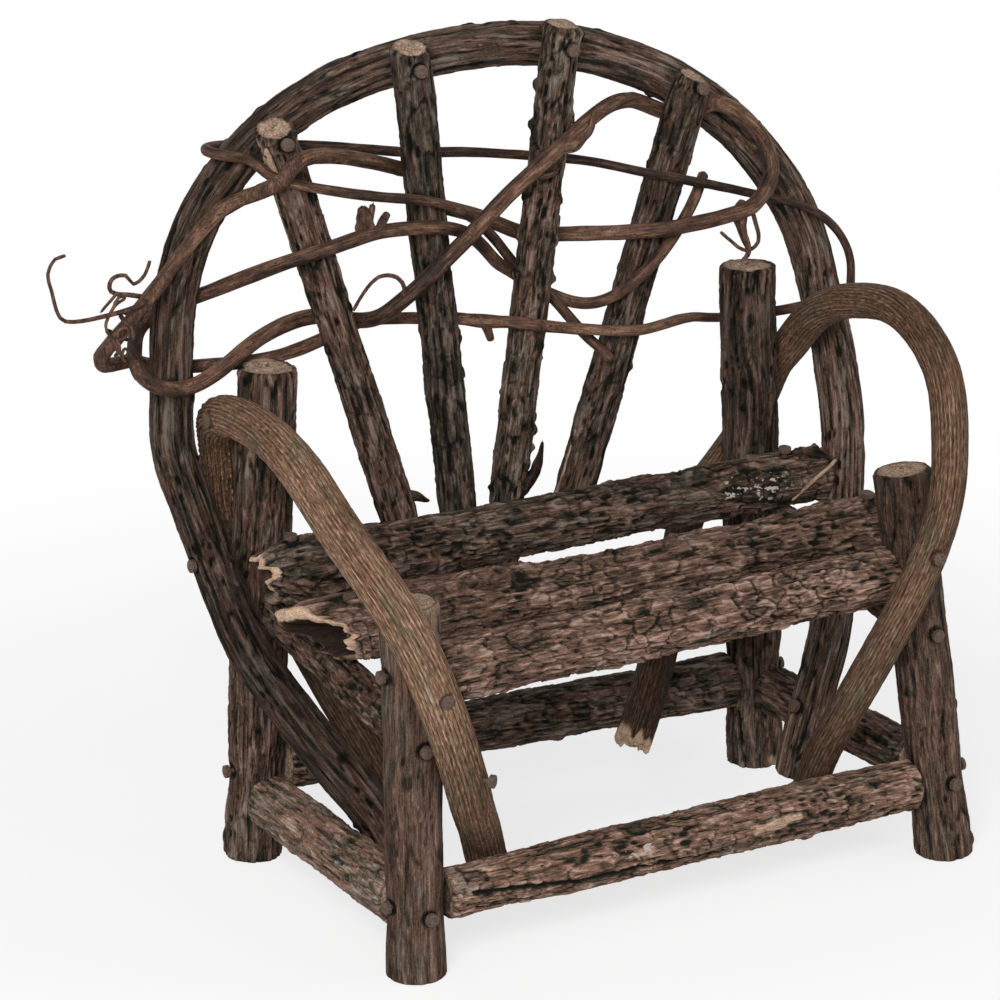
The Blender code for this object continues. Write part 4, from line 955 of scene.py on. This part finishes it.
class Finish(Nodes):
    """A material in the making."""

    def __init__(self, name):
        self.material = bpy.data.materials.new(name)
        self.material.use_nodes = True
        super().__init__(self.material.node_tree, "OutputMaterial")

    def kept(self, name, output="Fac"):
        return self.node("Attribute", {}, output, attribute_name=name)

    def ramp(self, value, stops):
        return self.node("ValToRGB", {0: value}, stops=stops)

    def noise(self, vector, across, along, detail=3.0, rough=0.6):
        """Noise in cells of so many millimetres across the grain and along it."""
        scale = (1 / MM / across, 1 / MM / across, 1 / MM / along)
        cells = self.node("VectorMath", {0: vector, 1: scale}, operation="MULTIPLY")
        return self.noise_in(cells, detail, rough)

    def noise_in(self, cells, detail=3.0, rough=0.6):
        return self.node("TexNoise", {"Vector": cells, "Scale": 1.0, "Detail": detail,
                                      "Roughness": rough})

    def mix(self, share, first, second, blend="MIX"):
        return self.node("Mix", {0: share, 6: first, 7: second}, 2, data_type="RGBA",
                         blend_type=blend)

    def shaded(self, colour, gain):
        """A colour made lighter or darker by the shade that each point keeps."""
        return self.node("VectorMath", {0: colour, 3: self.kept("shade") * gain}, operation="SCALE")

    def bump(self, height, depth):
        return self.node("Bump", {"Height": height, "Strength": 1.0, "Distance": depth})

    def surface(self, inputs):
        self.show(self.node("BsdfPrincipled", inputs))
        return self.material


def sawn_wood(finish, grain, heart):
    """Colour of a sawn end: mottled pale wood with rings, a dark pith and a brown rim."""
    blotch = finish.noise(grain, 2.4, 2.4, 3)
    speck = finish.noise(grain, 0.7, 0.7, 3, 0.65)
    ring = finish.noise_in(finish.node("CombineXYZ", {0: heart * 7.0 + blotch * 1.6}), 2)
    level = 0.5 + (ring - 0.5) * 0.5 + (blotch - 0.5) * 0.6 + (speck - 0.5) * 1.1
    wood = finish.ramp(level, [(0.22, (0.10, 0.060, 0.040)), (0.42, (0.25, 0.160, 0.110)),
                               (0.58, (0.37, 0.270, 0.195)), (0.82, (0.56, 0.46, 0.36))])
    pith = 1 - heart.between(0.03, 0.16)
    wood = finish.mix(pith * 0.8, wood, (0.08, 0.045, 0.030, 1))
    rim = (heart + (speck - 0.5) * 0.25).between(0.84, 0.97)
    return finish.mix(rim, wood, (0.075, 0.045, 0.032, 1))


def torn_wood(finish, level):
    """Colour of bare wood where bark or a branch was torn off."""
    return finish.ramp(level, [(0.32, (0.16, 0.085, 0.050)), (0.46, (0.40, 0.265, 0.175)),
                               (0.64, (0.66, 0.505, 0.37))])


def bark_finish():
    finish = Finish("rough_bark")
    grain = finish.kept("grain", "Vector")
    tone = finish.kept("tone")
    streak = finish.noise(grain, 0.45, 6.0, 4, 0.70)
    grit = finish.noise(grain, 0.40, 0.9, 2)
    clump = finish.noise(grain, 1.9, 2.8, 2)
    mottle = finish.noise(grain, 5.0, 14.0, 3)
    level = (0.48 + (tone - 0.5) * 1.35 + (streak - 0.5) * 1.3 + (grit - 0.5) * 0.55
             + (finish.kept("plate") - 0.5) * 0.06)
    brown = finish.ramp(level, [(0.05, (0.008, 0.009, 0.006)), (0.28, (0.038, 0.027, 0.019)),
                                (0.49, (0.108, 0.061, 0.043)), (0.68, (0.178, 0.108, 0.080)),
                                (0.95, (0.34, 0.235, 0.19))])
    grey = finish.ramp(level, [(0.05, (0.009, 0.010, 0.007)), (0.30, (0.037, 0.032, 0.024)),
                               (0.52, (0.092, 0.069, 0.051)), (0.95, (0.28, 0.225, 0.18))])
    colour = finish.mix((mottle + finish.kept("grey")).between(0.47, 0.68), brown, grey)
    colour = finish.shaded(colour, BARK_GAIN)
    crust = finish.kept("lichen") * clump.between(0.58, 0.64)
    colour = finish.mix(crust, colour, (0.40, 0.355, 0.31, 1))
    wood = sawn_wood(finish, grain, finish.kept("heart"))
    colour = finish.mix(finish.kept("cut"), colour, wood)
    colour = finish.mix(finish.kept("bare"), colour, torn_wood(finish, streak * 0.7 + grit * 0.3))
    # Broken and hollow ends are darkened. On the broken log ends this is painted shade; the front
    # stretcher's left end is darkened in its middle.
    dark_end_colour = finish.ramp(streak, [(0.35, (0.014, 0.010, 0.008)), (0.65, (0.036, 0.023, 0.017))])
    colour = finish.mix(finish.kept("hollow"), colour, dark_end_colour)
    bump = finish.bump(streak * 0.65 + grit * 0.35, 0.40 * MM)
    return finish.surface({"Base Color": colour, "Roughness": 0.92 - 0.14 * tone, "Normal": bump,
                           "Specular IOR Level": 0.06})


def arm_finish():
    finish = Finish("arm_branch_bark")
    grain = finish.kept("grain", "Vector")
    line = finish.noise(grain, 0.36, 24.0, 3, 0.65)
    fleck = finish.noise(grain, 0.30, 2.2, 2)
    mottle = finish.noise(grain, 6.0, 20.0, 3)
    level = 0.47 + (line - 0.5) * 0.80 + (finish.kept("tone") - 0.5) * 0.42 + (fleck - 0.5) * 1.0
    red = finish.ramp(level, [(0.15, (0.018, 0.013, 0.008)), (0.38, (0.074, 0.039, 0.022)),
                              (0.58, (0.160, 0.088, 0.053)), (0.86, (0.34, 0.245, 0.18))])
    olive = finish.ramp(level, [(0.15, (0.016, 0.015, 0.009)), (0.38, (0.062, 0.043, 0.024)),
                                (0.60, (0.130, 0.090, 0.055)), (0.86, (0.28, 0.225, 0.165))])
    colour = finish.mix(mottle.between(0.46, 0.66), red, olive)
    colour = finish.shaded(colour, ARM_GAIN)
    wood = sawn_wood(finish, grain, finish.kept("heart"))
    colour = finish.mix(finish.kept("cut"), colour, wood)
    colour = finish.mix(finish.kept("bare"), colour, torn_wood(finish, line * 0.6 + fleck * 0.4))
    bump = finish.bump(line * 0.7 + fleck * 0.3, 0.35 * MM)
    return finish.surface({"Base Color": colour, "Roughness": 0.78 - 0.15 * line, "Normal": bump,
                           "Specular IOR Level": 0.10})


def vine_finish():
    finish = Finish("dried_vine")
    grain = finish.kept("grain", "Vector")
    line = finish.noise(grain, 0.6, 9.0, 3, 0.6)
    blotch = finish.noise(grain, 2.2, 6.0, 2)
    dot = finish.noise(grain, 0.7, 1.6, 2)
    level = (0.46 + 0.35 * (finish.kept("tone") - 0.5) + 0.9 * (line - 0.5) + 0.7 * (blotch - 0.5)
             + 0.5 * (dot - 0.5))
    colour = finish.ramp(level, [(0.16, (0.016, 0.010, 0.008)), (0.42, (0.080, 0.041, 0.026)),
                                 (0.62, (0.176, 0.096, 0.060)), (0.90, (0.33, 0.205, 0.14))])
    colour = finish.mix(dot.between(0.57, 0.68), colour, (0.018, 0.011, 0.008, 1))
    wood = sawn_wood(finish, grain, finish.kept("heart"))
    colour = finish.mix(finish.kept("cut"), colour, wood)
    bump = finish.bump(line * 0.6 + dot * 0.4, 0.25 * MM)
    return finish.surface({"Base Color": colour, "Roughness": 0.62, "Normal": bump,
                           "Specular IOR Level": 0.14})


def nail_finish():
    finish = Finish("rusty_nail")
    place = finish.node("TexCoord", {}, "Object")
    rust = finish.noise(place, 0.7, 0.7, 4)
    colour = finish.ramp(rust, [(0.35, (0.032, 0.022, 0.016)), (0.52, (0.082, 0.049, 0.035)),
                                (0.72, (0.150, 0.090, 0.063))])
    bump = finish.bump(rust, 0.15 * MM)
    return finish.surface({"Base Color": colour, "Roughness": 0.60 + 0.25 * rust, "Metallic": 0.10,
                           "Normal": bump})


# ---------------------------------------------------------------- nails

def add_nail(name):
    """A wire nail with a slightly domed, rubbed head."""
    head, run, radius, length = nail_seat(name)
    head = head - run * NAIL_PROUD
    thick = HEAD_THICK + NAIL_PROUD
    shank = length - thick - NAIL_TIP
    start_clean()
    bpy.ops.mesh.primitive_cylinder_add(vertices=NAIL_SIDES, radius=radius, depth=thick,
                                        end_fill_type="NGON", location=(0, 0, -thick / 2))
    nail = bpy.context.object
    nail.name = name + "_wire"
    bpy.ops.object.transform_apply(location=True)
    edit()
    pick_faces(nail, lambda face: face.normal.z > 0.9)
    bpy.ops.mesh.inset(thickness=radius * 0.22, depth=thick * 0.16)
    bpy.ops.mesh.inset(thickness=radius * 0.35, depth=thick * 0.06)
    pick_faces(nail, lambda face: face.normal.z < -0.9)
    bpy.ops.mesh.inset(thickness=radius * 0.62)
    for stretch in (shank, NAIL_TIP):
        bpy.ops.mesh.extrude_region_move(TRANSFORM_OT_translate={"value": (0, 0, -stretch)})
    bpy.ops.transform.resize(value=(0.1, 0.1, 1.0), center_override=(0, 0, 0))
    bpy.ops.mesh.select_all(action="SELECT")
    bpy.ops.mesh.normals_make_consistent(inside=False)
    leave_edit()
    nail.rotation_mode = "QUATERNION"
    nail.rotation_quaternion = Vector(run).to_track_quat("-Z", "Y")
    nail.location = head
    bpy.ops.object.transform_apply(location=True, rotation=True, scale=True)
    bpy.ops.object.shade_smooth_by_angle(angle=math.radians(35))
    return nail


# ---------------------------------------------------------------- tendrils

def add_tendrils(name, stick):
    """The tendrils and spurs of a vine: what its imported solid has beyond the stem."""
    twigs = bpy.data.objects.new(name + "_tendrils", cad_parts[name].data.copy())
    bpy.context.scene.collection.objects.link(twigs)

    def on_stem(face):
        gaps = []
        for index in face.vertices:
            away = np.linalg.norm(stick.line - np.array(twigs.data.vertices[index].co), axis=1)
            nearest = away.argmin()
            gaps.append(away[nearest] - stick.radii[nearest])
        return max(gaps) < STEM_SKIN

    take_up(twigs)
    pick_faces(twigs, on_stem)
    bpy.ops.mesh.delete(type="FACE")
    bpy.ops.mesh.select_all(action="SELECT")
    bpy.ops.mesh.subdivide(number_cuts=1, smoothness=0.6)
    leave_edit()
    bpy.ops.object.shade_smooth()
    places = points_of(twigs.data)
    note(twigs, "grain", places)
    note(twigs, "tone", np.full(len(places), TENDRIL_TONE))
    note(twigs, "heart", np.ones(len(places)))
    return twigs


def add_twig(name, seed):
    """A short twig, stub or tendril that grows from the stick its first point is in."""
    kind, points = TWIGS[name]
    path = np.array(points) * MM
    stick = Stick(path[:, :3], path[:, 3], TWIG_SPREAD)
    roll = Roll(name, stick, TWIG_ALONG, TWIG_AROUND)
    mm = roll.length / MM
    lumps = 0.16 * ripple(roll.turn, mm, 5, 3.5, seed) + 0.10 * ripple(roll.turn, mm, 9, 1.8, seed + 1)
    height = lumps * stick.at(stick.radii, roll.length)
    shift = np.where(roll.end > 0, sawn_end(roll, seed + 2), 0)
    places, grain = roll.place(height, shift)
    same = np.ones(len(mm))
    tone = 0.42 + 0.30 * ripple(roll.turn, mm, 6, 5, seed + 3)
    none = 0 * same
    return roll.finish(places, grain, tone=tone, plate=0.5 * same, cut=none, shade=TWIG_SHADE * same,
                       grey=none, hollow=none, bare=(kind == "bare") * 0.65 * same, lichen=none,
                       heart=same)


# ---------------------------------------------------------------- stage, light and camera

def add_floor():
    start_clean()
    bpy.ops.mesh.primitive_circle_add(vertices=96, radius=FLOOR_RADIUS, fill_type="NGON",
                                      location=(0, 0, 0))
    floor = bpy.context.object
    floor.name = "studio_floor"
    finish = Finish("pale_floor")
    place = finish.node("TexCoord", {}, "Object")
    away = finish.node("VectorMath", {0: place}, "Value", operation="LENGTH")
    far = WHITE_NEAR + (1 - WHITE_NEAR) * away.between(*WHITE_FADE)
    lit = finish.node("BsdfDiffuse", {"Color": FLOOR_COLOUR})
    white = finish.node("Emission", {"Color": WHITE, "Strength": 1.0})
    rays = finish.node("LightPath", {}, "Is Camera Ray")
    finish.show(finish.node("MixShader", {0: rays * far, 1: lit, 2: white}))
    floor.data.materials.append(finish.material)


def hang(holder, place, target):
    """Put a lamp or a camera in its place, pointed at a target."""
    holder.location = place
    holder.rotation_euler = (Vector(target) - Vector(place)).to_track_quat("-Z", "Y").to_euler()
    bpy.context.scene.collection.objects.link(holder)


def add_lamp(name, place, size, power):
    lamp = bpy.data.lights.new(name, "AREA")
    lamp.shape = "DISK"
    lamp.size = size
    lamp.energy = power
    hang(bpy.data.objects.new(name, lamp), place, LAMP_TARGET)


def add_studio():
    world = bpy.data.worlds.new("studio")
    bpy.context.scene.world = world
    world.use_nodes = True
    studio = Nodes(world.node_tree, "OutputWorld")
    soft, white = (studio.node("Background", {"Color": WHITE, "Strength": strength})
                   for strength in (SKY, 1.0))
    camera, glossy = (studio.node("LightPath", {}, ray) for ray in ("Is Camera Ray", "Is Glossy Ray"))
    either = studio.node("Math", {0: camera, 1: glossy}, operation="MAXIMUM")
    studio.show(studio.node("MixShader", {0: either, 1: soft, 2: white}))
    for name, (place, size, power) in LAMPS.items():
        add_lamp(name, place, size, power)
    bpy.context.scene.view_settings.view_transform = "Standard"


def add_camera():
    lens = bpy.data.cameras.new("photo_view")
    lens.lens = LENS
    lens.sensor_width = SENSOR
    camera = bpy.data.objects.new("photo_view", lens)
    hang(camera, EYE, AIM)
    bpy.context.scene.camera = camera


# ---------------------------------------------------------------- putting it together

def dress(piece, material):
    """Give a finished piece its finish, and let it go with the bench."""
    piece.data.materials.clear()
    piece.data.materials.append(material)
    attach(piece, BODY)


def stand_for(piece, node, material):
    """Dress a finished piece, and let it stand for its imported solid."""
    dress(piece, material)
    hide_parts(node)


rough_bark = bark_finish()
for index, name in enumerate(STICKS):
    stand_for(add_bark_stick(name, STICK_SEED + STICK_SEED_STEP * index), name, rough_bark)
arm_bark = arm_finish()
for name in ARMS:
    stand_for(add_arm(name), name, arm_bark)
dried_vine = vine_finish()
for name in VINES:
    stem, traced = add_vine(name)
    stand_for(stem, name, dried_vine)
    if name != WITHOUT_TENDRILS:
        stand_for(add_tendrils(name, traced), name, dried_vine)
rusty_nail = nail_finish()
for name in NAILS:
    stand_for(add_nail(name), name, rusty_nail)
for index, (name, (kind, _)) in enumerate(TWIGS.items()):
    twig = add_twig(name, TWIG_SEED + TWIG_SEED_STEP * index)
    if kind == "vine":
        dress(twig, dried_vine)
    else:
        dress(twig, rough_bark)
add_floor()
add_studio()
add_camera()
